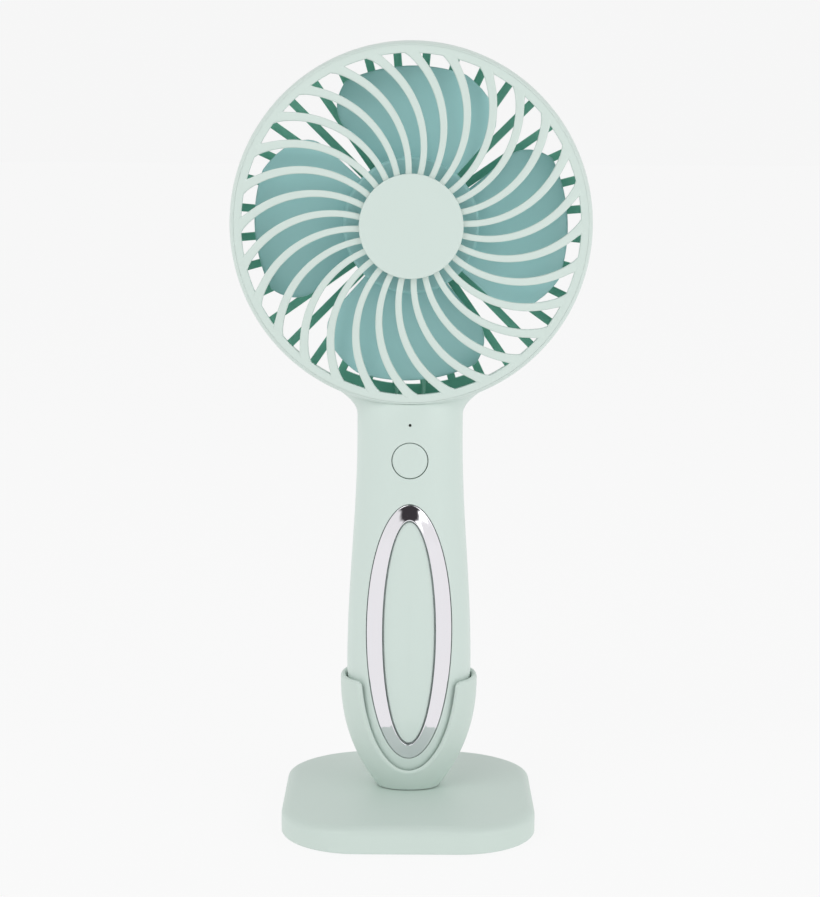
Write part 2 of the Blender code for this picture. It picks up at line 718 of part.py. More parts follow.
def build_back_grille():
    """Ring of straight radial ribs round the motor cup, as a joining guide."""
    outlines = [
        circle_points(BORE_RADIUS + HEAD_WALL / 3, ROUND, HEAD_Z),
        circle_points(MOTOR_RADIUS + GAP + MOTOR_CUP_WALL / 2, MIDDLE_ROUND, HEAD_Z),
    ]
    pitch = 360 / BACK_RIBS
    for index in range(BACK_RIBS):
        middle = pitch * (index + 1)
        far = back_opening_limit(middle)
        corners = []
        for radius, side in ((BACK_HUB_RADIUS, -1), (far, -1), (far, 1), (BACK_HUB_RADIUS, 1)):
            lean = math.degrees(math.asin(BACK_RIB_WIDTH / 2 / radius))
            angle = math.radians(middle + side * (pitch / 2 - lean))
            corners.append((radius * math.cos(angle), HEAD_Z + radius * math.sin(angle)))
        outlines.append(corners)
    front = HEAD_BACK_Y - BACK_GRILLE_THICKNESS
    back = HEAD_BACK_Y - 0.4 * MM
    grille = flat_outline("back_grille", outlines, front, back, is_cutter=True)
    for vertex in grille.data.vertices:
        radius = math.hypot(vertex.co.x, vertex.co.z - HEAD_Z)
        vertex.co.y += back_depth(radius)
    return grille


def build_rear_shell():
    """Back of the handle, back of the head with its grille, and the motor cup."""
    shell = hollow_handle("rear_shell")
    ring = [(HEAD_RADIUS, 1 * MM)]
    corner = edge_arc(HEAD_RADIUS, HEAD_BACK_Y, HEAD_WALL, HEAD_EDGE)
    ring += [(radius, -height) for radius, height in reversed(corner)]
    ring.append((BORE_RADIUS, 1 * MM))
    cup_inner = MOTOR_RADIUS + GAP
    cup_back = HEAD_BACK_Y + BACK_DOME
    floor_front = cup_back - BACK_GRILLE_THICKNESS
    adds = [
        turned("rear_ring", ring, (0, 0, HEAD_Z), ROUND, along_y=True, is_cutter=True),
        build_back_grille(),
        turned("motor_cup", [
            (0, -floor_front),
            (cup_inner, -floor_front),
            (cup_inner, -MOTOR_CUP_FRONT_Y),
            (cup_inner + MOTOR_CUP_WALL, -MOTOR_CUP_FRONT_Y),
            (cup_inner + MOTOR_CUP_WALL, -cup_back),
            (0, -cup_back),
        ], (0, 0, HEAD_Z), MIDDLE_ROUND, along_y=True, is_cutter=True),
    ]
    slot_y = motor_back_y() + END_CAP_THICKNESS
    neck = HEAD_BOTTOM_Z
    half_width = PORT_WIDTH / 2 + GAP
    half_height = PORT_HEIGHT / 2 + GAP
    cuts = [
        block("lead_slot", (-3 * MM, slot_y, HEAD_Z - cup_inner - 3 * MM),
              (3 * MM, slot_y + 1.9 * MM, HEAD_Z - cup_inner + 2 * MM), is_cutter=True),
        block("lead_hole", (-5.2 * MM, 6.3 * MM, neck - 4 * MM),
              (5.2 * MM, 9.3 * MM, neck + 4 * MM), is_cutter=True),
        block("port_hole", (-half_width, CHARGE_BOARD_Y, PORT_Z - half_height),
              (half_width, FAR, PORT_Z + half_height), is_cutter=True),
        block("ahead_of_parting", (-FAR, -FAR, -FAR), (FAR, PARTING, 3 * FAR), is_cutter=True),
    ]
    for index, (x, z) in enumerate(shell_screw_places(), 1):
        reach = surface_depth(x, z, HANDLE_WALL) + 0.5 * MM
        adds.append(across_fan(f"rear_boss_{index}", REAR_BOSS_RADIUS, -1 * MM, reach, x, z))
        cuts.append(across_fan(f"rear_bore_{index}", SCREW_RADIUS + GAP, -2 * MM, FAR, x, z))
        cuts.append(across_fan(f"rear_seat_{index}", SCREW_HEAD_RADIUS + GAP, SCREW_SEAT_Y, FAR, x, z))
    boolean_all(shell, "rear_shell_adds", adds, "UNION")
    boolean_all(shell, "rear_shell_cuts", cuts)
    finish(shell, MINT, 0.45)


def build_shell_screws():
    """Screws from behind that draw the rear shell onto the front shell's bosses."""
    for index, (x, z) in enumerate(shell_screw_places(), 1):
        reach = surface_depth(x, z, HANDLE_WALL) - 2 * MM
        screw(f"shell_screw_{index}", (x, 0, z), SCREW_SEAT_Y + GAP, SCREW_SEAT_Y + reach, (0, 1, 0))


# ---------------------------------------------------------------- front grille

def rib_sweep():
    """How far a rib turns before it is safely inside the ring, in radians."""
    start = math.radians(RIB_START_HEADING)
    turn = 0.2
    reach = 0.0
    while reach < GRILLE_OPEN_RADIUS + RIB_WIDTH / 2:
        turn += 0.01
        x = HUB_RADIUS + RIB_BEND_RADIUS * (math.sin(start + turn) - math.sin(start))
        z = RIB_BEND_RADIUS * (math.cos(start) - math.cos(start + turn))
        reach = math.hypot(x, z)
    return turn


GRILLE_HUB_RADIUS = HUB_RADIUS - 1 * MM
SWEEP = rib_sweep()


def rib_edge(share, side):
    """A point on one edge of the first front rib; side is +1 anticlockwise, -1 clockwise."""
    start = math.radians(RIB_START_HEADING)
    turn = SWEEP * share
    x = HUB_RADIUS + RIB_BEND_RADIUS * (math.sin(start + turn) - math.sin(start))
    z = RIB_BEND_RADIUS * (math.cos(start) - math.cos(start + turn))
    heading = start + turn
    half = side * RIB_WIDTH / 2
    return Vector((x - half * math.sin(heading), z + half * math.cos(heading)))


def share_at(radius, side):
    """Where an edge of the rib crosses a radius."""
    low = -0.2
    high = 1.3
    for _ in range(40):
        middle = (low + high) / 2
        if rib_edge(middle, side).length < radius:
            low = middle
        else:
            high = middle
    return (low + high) / 2


def front_opening(turn, steps=5):
    """Outline of the opening between two front ribs, turned about the fan axis."""
    pitch = math.tau / GRILLE_RIBS
    outline = []
    for side, extra in ((1, 0.0), (-1, pitch)):
        first = share_at(GRILLE_HUB_RADIUS, side)
        last = share_at(GRILLE_OPEN_RADIUS, side)
        edge = [rib_edge(first + (last - first) * step / steps, side) for step in range(steps + 1)]
        edge = [Matrix.Rotation(turn + extra, 2) @ point for point in edge]
        outline += edge if side == 1 else reversed(edge)
    return [(point.x, point.y + HEAD_Z) for point in outline]


def front_bulge(radius):
    """How far the front grille stands ahead of its ring at a radius."""
    share = min(max((GRILLE_OPEN_RADIUS - radius) / (GRILLE_OPEN_RADIUS - HUB_RADIUS), 0.0), 1.0)
    return GRILLE_DOME * math.sin(share * math.pi / 2)


def build_front_grille():
    """The domed guard: one ring, curved ribs and a round boss under the hub plate."""
    outer = HEAD_RADIUS - HEAD_WALL - GAP
    outlines = [circle_points(outer, ROUND, HEAD_Z)]
    for index in range(GRILLE_RIBS):
        outlines.append(front_opening(math.tau * index / GRILLE_RIBS))
    back = HEAD_FRONT_Y + GRILLE_THICKNESS
    grille = flat_outline("front_grille", outlines, HEAD_FRONT_Y, back)
    for vertex in grille.data.vertices:
        radius = math.hypot(vertex.co.x, vertex.co.z - HEAD_Z)
        vertex.co.y -= front_bulge(radius)
    finish(grille, MINT, 0.42)


def build_hub_plate():
    """Round plate on the middle of the guard."""
    seat = HEAD_FRONT_Y - GRILLE_DOME - GAP
    face = -seat + HUB_THICKNESS
    profile = [
        (0, face),
        (HUB_RADIUS - 0.6 * MM, face),
        (HUB_RADIUS, face - 0.5 * MM),
        (HUB_RADIUS, -seat),
        (0, -seat),
    ]
    plate = turned("hub_plate", profile, (0, 0, HEAD_Z), MIDDLE_ROUND, along_y=True)
    finish(plate, MINT, 0.4)


# ---------------------------------------------------------------- handle fittings

def build_trim_ring():
    """Bright oval band let into the front of the handle, following its curve."""
    hole = (TRIM_HALF_WIDTH - TRIM_BAND, TRIM_HALF_HEIGHT - TRIM_BAND)
    ring = trim_oval("trim_ring", TRIM_HALF_WIDTH - GAP, TRIM_HALF_HEIGHT - GAP, hole, is_cutter=False)
    top = NECK_Z
    boolean(ring, handle_solid("trim_face", HANDLE_BOTTOM_Z, top, -TRIM_PROUD), "INTERSECT")
    boolean(ring, handle_solid("trim_seat", HANDLE_BOTTOM_Z, top, POCKET_DEPTH - GAP))
    finish(ring, (0.85, 0.85, 0.88), 0.08, 1.0)


def build_grip_panel():
    """Oval panel inside the trim ring."""
    half_width = TRIM_HALF_WIDTH - TRIM_BAND - GAP
    half_height = TRIM_HALF_HEIGHT - TRIM_BAND - GAP
    panel = trim_oval("grip_panel", half_width, half_height, is_cutter=False)
    boolean(panel, handle_solid("panel_face", HANDLE_BOTTOM_Z, NECK_Z, 0.0), "INTERSECT")
    boolean(panel, handle_solid("panel_seat", HANDLE_BOTTOM_Z, NECK_Z, POCKET_DEPTH - GAP))
    finish(panel, MINT, 0.45)


SWITCH_FRONT_Y = BOARD_Y - GAP - SWITCH_HEIGHT
PLUNGER_Y = SWITCH_FRONT_Y - 0.5 * MM
BUTTON_BACK_Y = PLUNGER_Y - BUTTON_TRAVEL - 0.1 * MM


def build_power_button():
    """Round button, flush with the handle, with a flange that keeps it in."""
    flange_front = BUTTON_BACK_Y - BUTTON_FLANGE
    flange = BUTTON_RADIUS + 0.8 * MM
    profile = [
        (0, HANDLE_REACH),
        (BUTTON_RADIUS, HANDLE_REACH),
        (BUTTON_RADIUS, -flange_front),
        (flange, -flange_front),
        (flange, -BUTTON_BACK_Y),
        (0, -BUTTON_BACK_Y),
    ]
    button = turned("power_button", profile, (0, 0, BUTTON_Z), MIDDLE_ROUND, along_y=True)
    boolean(button, handle_solid("button_face", BUTTON_Z - 15 * MM, BUTTON_Z + 12 * MM), "INTERSECT")
    finish(button, MINT, 0.4)


def build_boards():
    """Main board with its switch and status light, and the charging board with its socket."""
    half = BOARD_WIDTH / 2
    board = block("circuit_board", (-half, BOARD_Y, BOARD_BOTTOM_Z),
                  (half, BOARD_Y + BOARD_THICKNESS, BOARD_TOP_Z))
    finish(board, BOARD_GREEN, 0.5)

    side = SWITCH_SIZE / 2
    switch = block("tact_switch", (-side, SWITCH_FRONT_Y, BUTTON_Z - side),
                   (side, BOARD_Y - GAP, BUTTON_Z + side))
    plunger = across_fan("switch_plunger", 1.6 * MM, PLUNGER_Y, SWITCH_FRONT_Y + 1 * MM, z=BUTTON_Z)
    boolean(switch, plunger, "UNION")
    finish(switch, STEEL, 0.4, 0.6)

    light_front = BOARD_Y - GAP - 0.9 * MM
    light = block("status_light", (-0.8 * MM, light_front, LED_Z - 0.5 * MM),
                  (0.8 * MM, BOARD_Y - GAP, LED_Z + 0.5 * MM))
    finish(light, (0.9, 0.9, 0.8), 0.3)
    lens_front = -surface_depth(0, LED_Z) + 0.3 * MM
    lens = across_fan("light_pipe", LED_HOLE_RADIUS - GAP, lens_front, light_front - GAP, z=LED_Z,
                      segments=10, is_cutter=False)
    finish(lens, (0.25, 0.26, 0.25), 0.2)

    charge = block("charging_board", (-half, CHARGE_BOARD_Y, PORT_Z - 4.5 * MM),
                   (half, CHARGE_BOARD_Y + BOARD_THICKNESS, PORT_Z + 4.5 * MM))
    finish(charge, BOARD_GREEN, 0.5)
    low_y = CHARGE_BOARD_Y + BOARD_THICKNESS + GAP
    high_y = surface_depth(PORT_WIDTH / 2, PORT_Z) - 0.4 * MM
    half_width = PORT_WIDTH / 2
    half_height = PORT_HEIGHT / 2
    wall = 0.45 * MM
    socket = block("charging_socket", (-half_width, low_y, PORT_Z - half_height),
                   (half_width, high_y, PORT_Z + half_height))
    boolean(socket, block("socket_mouth",
                          (-half_width + wall, low_y + 1 * MM, PORT_Z - half_height + wall),
                          (half_width - wall, FAR, PORT_Z + half_height - wall), is_cutter=True))
    tongue = block("socket_tongue", (-half_width * 0.55, low_y + 0.5 * MM, PORT_Z - 0.3 * MM),
                   (half_width * 0.55, high_y - 1 * MM, PORT_Z + 0.3 * MM), is_cutter=True)
    boolean(socket, tongue, "UNION")
    finish(socket, STEEL, 0.3, 1.0)


def build_battery():
    """Round cell along the handle with a nickel tab at each end, and its two leads."""
    top = CELL_BOTTOM_Z + CELL_LENGTH
    edge = 0.8 * MM
    profile = [
        (0, top),
        (CELL_RADIUS - edge, top),
        (CELL_RADIUS, top - edge),
        (CELL_RADIUS, CELL_BOTTOM_Z + edge),
        (CELL_RADIUS - edge, CELL_BOTTOM_Z),
        (0, CELL_BOTTOM_Z),
    ]
    finish(turned("battery_cell", profile, (0, 0, 0), MIDDLE_ROUND), (0.08, 0.25, 0.5), 0.4)
    tab_radius = CELL_RADIUS * 0.45
    lower = CELL_BOTTOM_Z - GAP
    upper = top + GAP
    tab = disc_profile(tab_radius, lower - TAB_THICKNESS, lower)
    finish(turned("battery_tab_minus", tab, (0, 0, 0)), STEEL, 0.3, 1.0)
    tab = disc_profile(tab_radius, upper, upper + TAB_THICKNESS)
    finish(turned("battery_tab_plus", tab, (0, 0, 0)), STEEL, 0.3, 1.0)

    board_back = BOARD_Y + BOARD_THICKNESS + GAP + LEAD_END_GAP
    lead_x = BOARD_WIDTH / 4
    plus_low = upper + TAB_THICKNESS + GAP
    turn_z = BOARD_BOTTOM_Z + 3 * MM
    plus = wire("battery_lead_plus", [
        (lead_x * 0.6, 0, plus_low),
        (lead_x * 0.9, 0, plus_low + 3 * MM),
        (lead_x, -0.6 * MM, turn_z + 1 * MM),
        (lead_x, board_back, turn_z + 2.6 * MM),
    ])
    finish(plus, (0.6, 0.04, 0.03), 0.5)
    beside = CELL_RADIUS + GAP + LEAD_RADIUS + 0.4 * MM
    minus_z = lower - TAB_THICKNESS - GAP - LEAD_RADIUS
    minus = wire("battery_lead_minus", [
        (0, 0, minus_z),
        (-beside * 0.9, 0, minus_z),
        (-beside, 0, minus_z + 1.5 * MM),
        (-beside, 0, top + 1 * MM),
        (-beside * 0.6, 0, top + 3.5 * MM),
        (-lead_x, -0.6 * MM, turn_z + 1 * MM),
        (-lead_x, board_back, turn_z + 2.6 * MM),
    ])
    finish(minus, DARK, 0.5)


# ---------------------------------------------------------------- motor and impeller

def motor_back_y():
    """Back edge of the motor can."""
    return MOTOR_FRONT_Y + MOTOR_LENGTH


def arc_plate(name, inner, outer, middle_deg, span_deg, front_y, back_y, steps=8):
    """A curved block about the fan axis, like a motor magnet."""
    outline = []
    for radius, order in ((outer, range(steps + 1)), (inner, reversed(range(steps + 1)))):
        for step in order:
            angle = math.radians(middle_deg + span_deg * (step / steps - 0.5))
            outline.append((radius * math.cos(angle), HEAD_Z + radius * math.sin(angle)))
    return flat_outline(name, [outline], front_y, back_y)


def build_motor():
    """Direct-current motor in the rear shell's cup."""
    back = motor_back_y()
    bush_bore = BUSH_RADIUS + GAP
    centre = (0, 0, HEAD_Z)
    can = [
        (MOTOR_RADIUS - 0.6 * MM, -MOTOR_FRONT_Y),
        (MOTOR_RADIUS, -MOTOR_FRONT_Y - 0.6 * MM),
        (MOTOR_RADIUS, -back),
        (MOTOR_RADIUS - MOTOR_WALL, -back),
        (MOTOR_RADIUS - MOTOR_WALL, -MOTOR_FRONT_Y - MOTOR_WALL),
        (bush_bore, -MOTOR_FRONT_Y - MOTOR_WALL),
        (bush_bore, -MOTOR_FRONT_Y),
    ]
    finish(turned("motor_can", can, centre, MIDDLE_ROUND, along_y=True), STEEL, 0.35, 1.0)
    cap_front = back + GAP
    cap = across_fan("motor_end_cap", MOTOR_RADIUS, cap_front, cap_front + END_CAP_THICKNESS,
                     segments=MIDDLE_ROUND, bore=bush_bore, is_cutter=False)
    finish(cap, (0.85, 0.84, 0.8), 0.5)

    shaft_bore = SHAFT_RADIUS + GAP
    front = across_fan("motor_bush_front", BUSH_RADIUS, MOTOR_FRONT_Y, MOTOR_FRONT_Y + BUSH_LENGTH,
                       bore=shaft_bore, is_cutter=False)
    finish(front, BRASS, 0.35, 1.0)
    rear = across_fan("motor_bush_rear", BUSH_RADIUS, cap_front + END_CAP_THICKNESS - BUSH_LENGTH,
                      cap_front + END_CAP_THICKNESS, bore=shaft_bore, is_cutter=False)
    finish(rear, BRASS, 0.35, 1.0)

    magnet_outer = MOTOR_RADIUS - MOTOR_WALL - GAP
    magnet_front = MOTOR_FRONT_Y + MOTOR_WALL + 1 * MM
    for index, middle in enumerate((0, 180), 1):
        magnet = arc_plate(f"motor_magnet_{index}", magnet_outer - MAGNET_THICKNESS, magnet_outer,
                           middle, 130, magnet_front, magnet_front + MAGNET_LENGTH)
        finish(magnet, (0.05, 0.05, 0.055), 0.5, 0.3)

    armature_front = magnet_front + 1 * MM
    outline = []
    for step in range(36):
        angle = math.tau * step / 36
        from_slot = abs(math.degrees(angle) % 120 - 60)
        radius = ARMATURE_RADIUS * (0.62 if from_slot < 12 else 1.0)
        outline.append((radius * math.cos(angle), HEAD_Z + radius * math.sin(angle)))
    hole = circle_points(shaft_bore, SMALL_ROUND, HEAD_Z)
    armature = flat_outline("motor_armature", [outline, hole], armature_front,
                            armature_front + ARMATURE_LENGTH)
    finish(armature, COPPER, 0.4, 0.8)
    commutator_front = armature_front + ARMATURE_LENGTH + 0.8 * MM
    commutator = across_fan("motor_commutator", COMMUTATOR_RADIUS, commutator_front,
                            commutator_front + COMMUTATOR_LENGTH, bore=shaft_bore, is_cutter=False)
    finish(commutator, COPPER, 0.3, 1.0)
    brush_middle = commutator_front + COMMUTATOR_LENGTH / 2
    for index, side in enumerate((1, -1), 1):
        ends = sorted((side * (COMMUTATOR_RADIUS + GAP), side * (COMMUTATOR_RADIUS + 2.6 * MM)))
        brush = block(f"motor_brush_{index}", (ends[0], brush_middle - 0.6 * MM, HEAD_Z - 0.8 * MM),
                      (ends[1], brush_middle + 0.6 * MM, HEAD_Z + 0.8 * MM))
        finish(brush, DARK, 0.6)


def build_motor_leads():
    """Two leads from the motor's back, along the ribs over the neck, down to the board."""
    board_back = BOARD_Y + BOARD_THICKNESS + GAP + LEAD_END_GAP
    start_y = motor_back_y() + GAP + END_CAP_THICKNESS + GAP + LEAD_RADIUS + 0.1 * MM
    rib_front = HEAD_BACK_Y - BACK_GRILLE_THICKNESS - GAP - LEAD_RADIUS - 0.4 * MM
    pitch = 360 / BACK_RIBS
    neck = HEAD_BOTTOM_Z
    for name, side, colour in (("motor_lead_plus", 1, (0.7, 0.8, 0.74)),
                               ("motor_lead_minus", -1, (0.68, 0.78, 0.72))):
        angle = math.radians(270 + side * pitch / 2)
        route = [(side * 1.3 * MM, start_y, HEAD_Z - MOTOR_RADIUS * 0.6)]
        for share in (-0.09, 0.0, 0.2, 0.45, 0.7, 0.87):
            radius = BACK_HUB_RADIUS + (BORE_RADIUS - BACK_HUB_RADIUS) * share
            depth = min(start_y, rib_front + back_depth(radius) - 0.1 * MM)
            route.append((radius * math.cos(angle), depth, HEAD_Z + radius * math.sin(angle)))
        x = route[-1][0]
        route += [
            (x, rib_front - 1 * MM, neck + 3 * MM),
            (x * 0.9, 7.6 * MM, neck),
            (x * 0.7, 7.0 * MM, neck - 4 * MM),
            (x * 0.5, 2.0 * MM, UPPER_SCREW_Z + 1 * MM),
            (x * 0.5, board_back, UPPER_SCREW_Z - 1.5 * MM),
        ]
        finish(wire(name, route), colour, 0.5)


BLADE_LEAD_DEG = 45.5       # low-angle edge of the first blade near the hub
BLADE_SPAN_DEG = 80.0
BLADE_LEAD_CURVE = 28.0     # how far the low-angle edge sweeps back by the tip
BLADE_TRAIL_CURVE = 10.5
BLADE_PLAIN_RADIUS = 30.0 * MM


def blade_point(radius, chord, thickness_side, turn):
    """A point on a blade: chord is 0 at its low-angle edge and 1 at the other."""
    share = max(0.0, (radius - BLADE_PLAIN_RADIUS) / (BLADE_TIP_RADIUS - BLADE_PLAIN_RADIUS))
    low = BLADE_LEAD_DEG + BLADE_LEAD_CURVE * share ** 1.9
    high = BLADE_LEAD_DEG + BLADE_SPAN_DEG - BLADE_TRAIL_CURVE * share ** 3
    angle = math.radians(low + (high - low) * chord) + turn
    depth = BLADE_FRONT_Y + (BLADE_BACK_Y - BLADE_FRONT_Y) * chord ** 1.1
    thin = 0.6 if chord in (0.0, 1.0) else 1.0
    depth += thickness_side * BLADE_THICKNESS * thin / 2
    return Vector((radius * math.cos(angle), depth, HEAD_Z + radius * math.sin(angle)))


def build_blade(name, turn, radial=4, across=5):
    """One twisted blade, a loft between unlike sections from hub to tip."""
    inner = IMPELLER_HUB_RADIUS - IMPELLER_HUB_WALL * 0.6
    bm = bmesh.new()
    sides = []
    for side in (-1, 1):
        grid = []
        for row in range(radial + 1):
            radius = inner + (BLADE_TIP_RADIUS - inner) * row / radial
            grid.append([bm.verts.new(blade_point(radius, column / across, side, turn))
                         for column in range(across + 1)])
        sides.append(grid)
    for grid in sides:
        for row in range(radial):
            for column in range(across):
                bm.faces.new((grid[row][column], grid[row + 1][column],
                              grid[row + 1][column + 1], grid[row][column + 1]))
    front, back = sides
    rim = [(0, column) for column in range(across)]
    rim += [(row, across) for row in range(radial)]
    rim += [(radial, column) for column in range(across, 0, -1)]
    rim += [(row, 0) for row in range(radial, 0, -1)]
    for start, end in zip(rim, rim[1:] + rim[:1]):
        bm.faces.new((front[start[0]][start[1]], front[end[0]][end[1]],
                      back[end[0]][end[1]], back[start[0]][start[1]]))
    bmesh.ops.recalc_face_normals(bm, faces=bm.faces)
    return from_bmesh(name, bm, is_cutter=True)


def build_impeller():
    """Hub cup over the motor with its blades, and the shaft that carries it."""
    face = -IMPELLER_HUB_FRONT_Y
    wall = IMPELLER_HUB_WALL
    back = -(BLADE_BACK_Y + 0.9 * MM)
    boss_end = -MOTOR_FRONT_Y + 0.6 * MM
    shaft_bore = SHAFT_RADIUS + GAP
    profile = [
        (IMPELLER_HUB_RADIUS - 0.8 * MM, face),
        (IMPELLER_HUB_RADIUS, face - 0.8 * MM),
        (IMPELLER_HUB_RADIUS, back),
        (IMPELLER_HUB_RADIUS - wall, back),
        (IMPELLER_HUB_RADIUS - wall, face - wall),
        (shaft_bore + 1.7 * MM, face - wall),
        (shaft_bore + 1.7 * MM, boss_end),
        (shaft_bore, boss_end),
        (shaft_bore, face),
    ]
    impeller = turned("impeller", profile, (0, 0, HEAD_Z), MIDDLE_ROUND, along_y=True)
    for index in range(BLADES):
        blade = build_blade(f"blade_{index + 1}", math.tau * index / BLADES)
        boolean(impeller, blade, "UNION")
    finish(impeller, TEAL, 0.4)
    shaft_back = motor_back_y() + GAP + END_CAP_THICKNESS
    shaft = across_fan("motor_shaft", SHAFT_RADIUS, IMPELLER_HUB_FRONT_Y + 0.4 * MM, shaft_back,
                       segments=SMALL_ROUND, is_cutter=False)
    finish(shaft, STEEL, 0.25, 1.0)


# ---------------------------------------------------------------- the fan

build_base_cover()
build_base_plate()
build_base_weight()
build_feet()
build_cradle()
build_stand_screws()
build_front_shell()
build_rear_shell()
build_shell_screws()
build_front_grille()
build_hub_plate()
build_trim_ring()
build_grip_panel()
build_power_button()
build_boards()
build_battery()
build_motor()
build_motor_leads()
build_impeller()
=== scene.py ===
"""Looks of a handheld fan in its desk cradle: fine shells, finishes, light and camera."""

import json
import logging
import math
from dataclasses import dataclass, field
from enum import Enum
from typing import Iterable, Sequence

import bmesh
import bpy
import numpy as np
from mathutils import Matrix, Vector


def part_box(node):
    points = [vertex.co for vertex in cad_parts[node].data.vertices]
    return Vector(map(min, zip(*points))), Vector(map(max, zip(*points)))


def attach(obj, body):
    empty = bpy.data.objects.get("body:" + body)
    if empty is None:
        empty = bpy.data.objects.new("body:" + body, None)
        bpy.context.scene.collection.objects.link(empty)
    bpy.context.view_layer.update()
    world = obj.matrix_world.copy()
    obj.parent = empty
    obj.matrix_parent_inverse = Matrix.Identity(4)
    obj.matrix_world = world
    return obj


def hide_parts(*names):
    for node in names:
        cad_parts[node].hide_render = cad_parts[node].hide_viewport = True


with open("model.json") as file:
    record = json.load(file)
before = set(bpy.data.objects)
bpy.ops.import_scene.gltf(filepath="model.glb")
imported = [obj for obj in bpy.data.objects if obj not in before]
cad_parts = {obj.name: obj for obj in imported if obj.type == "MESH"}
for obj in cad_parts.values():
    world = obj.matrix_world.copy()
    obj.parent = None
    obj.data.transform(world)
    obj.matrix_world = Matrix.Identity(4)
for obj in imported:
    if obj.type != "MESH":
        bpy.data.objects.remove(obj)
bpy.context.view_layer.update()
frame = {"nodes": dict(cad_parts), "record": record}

log = logging.getLogger("fan")

MM = 0.001
AXIS_Z = sum((corner.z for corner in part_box("hub_plate"))) / 2
Colour = tuple[float, float, float]
Point = tuple[float, float]
Place = tuple[float, float, float]
MERGE_DISTANCE = 0.000001


# ---------------------------------------------------------------- node maths

class Graph:
    """A node tree with one way of adding nodes and joining their sockets."""

    def __init__(self, tree: bpy.types.NodeTree) -> None:
        """Start on an existing tree, emptied."""
        self.tree = tree
        tree.nodes.clear()

    def node(self, kind: str, settings: dict | None = None, **values: object) -> bpy.types.Node:
        """Add a node.

        Args:
            kind: Blender's node type.
            settings: the node's own properties, set first.
            values: inputs by name, with _ for a space, or in_0, in_1 by place.
        Returns:
            The new node.
        """
        made = self.tree.nodes.new(kind)
        for key, value in (settings or {}).items():
            setattr(made, key, value)
        for key, value in values.items():
            socket = made.inputs[int(key[3:])] if key.startswith("in_") else self.find(made, key)
            self.feed(socket, value)
        return made

    @staticmethod
    def find(made: bpy.types.Node, key: str) -> bpy.types.NodeSocket:
        """The input whose name is the key, with _ for a space, among those in use."""
        name = key.replace("_", " ")
        return next(s for s in made.inputs if s.name.lower() == name.lower() and s.enabled)

    def feed(self, socket: bpy.types.NodeSocket, value: object) -> None:
        """Join a wrapped socket to an input, or set the input to a plain value.

        Args:
            socket: the input.
            value: a wrapped socket, a socket or a plain value.
        """
        if isinstance(value, Wire):
            self.tree.links.new(value.socket, socket)
        elif isinstance(value, bpy.types.NodeSocket):
            self.tree.links.new(value, socket)
        else:
            socket.default_value = value

    def out(self, made: bpy.types.Node, name: str | int = 0) -> "Wire":
        """One of a node's outputs, wrapped for arithmetic."""
        return Wire(self, made.outputs[name])


class Wire:
    """A socket that can be used in Python arithmetic on numbers."""

    def __init__(self, graph: Graph, socket: bpy.types.NodeSocket) -> None:
        """Wrap one output socket."""
        self.graph = graph
        self.socket = socket

    def math(self, operation: str, other: object = 0.0, swap: bool = False) -> "Wire":
        """Add a Math node on this socket and another value.

        Args:
            operation: the Math node's operation.
            other: the second value.
            swap: whether the second value comes first.
        Returns:
            The result, wrapped.
        """
        first, second = (other, self) if swap else (self, other)
        made = self.graph.node("ShaderNodeMath", {"operation": operation}, in_0=first, in_1=second)
        return self.graph.out(made)

    def __add__(self, other: object) -> "Wire":
        """Sum."""
        return self.math("ADD", other)

    __radd__ = __add__

    def __sub__(self, other: object) -> "Wire":
        """Difference."""
        return self.math("SUBTRACT", other)

    def __rsub__(self, other: object) -> "Wire":
        """Difference from a plain value."""
        return self.math("SUBTRACT", other, swap=True)

    def __mul__(self, other: object) -> "Wire":
        """Product."""
        return self.math("MULTIPLY", other)

    __rmul__ = __mul__

    def __truediv__(self, other: object) -> "Wire":
        """Quotient."""
        return self.math("DIVIDE", other)

    def step(self, low: float, high: float) -> "Wire":
        """A smooth rise from 0 to 1 between two values.

        Args:
            low: where it is 0.
            high: where it is 1.
        Returns:
            The rise, wrapped.
        """
        made = self.graph.node("ShaderNodeMapRange", {"interpolation_type": "SMOOTHSTEP"},
                               Value=self, From_Min=low, From_Max=high)
        return self.graph.out(made)


# ---------------------------------------------------------------- finishes

class Texture(Enum):
    """How a surface is figured close up."""

    MOULDED = "moulded"
    BRUSHED = "brushed"
    PLATED = "plated"
    SPECKLED = "speckled"
    TRACKED = "tracked"


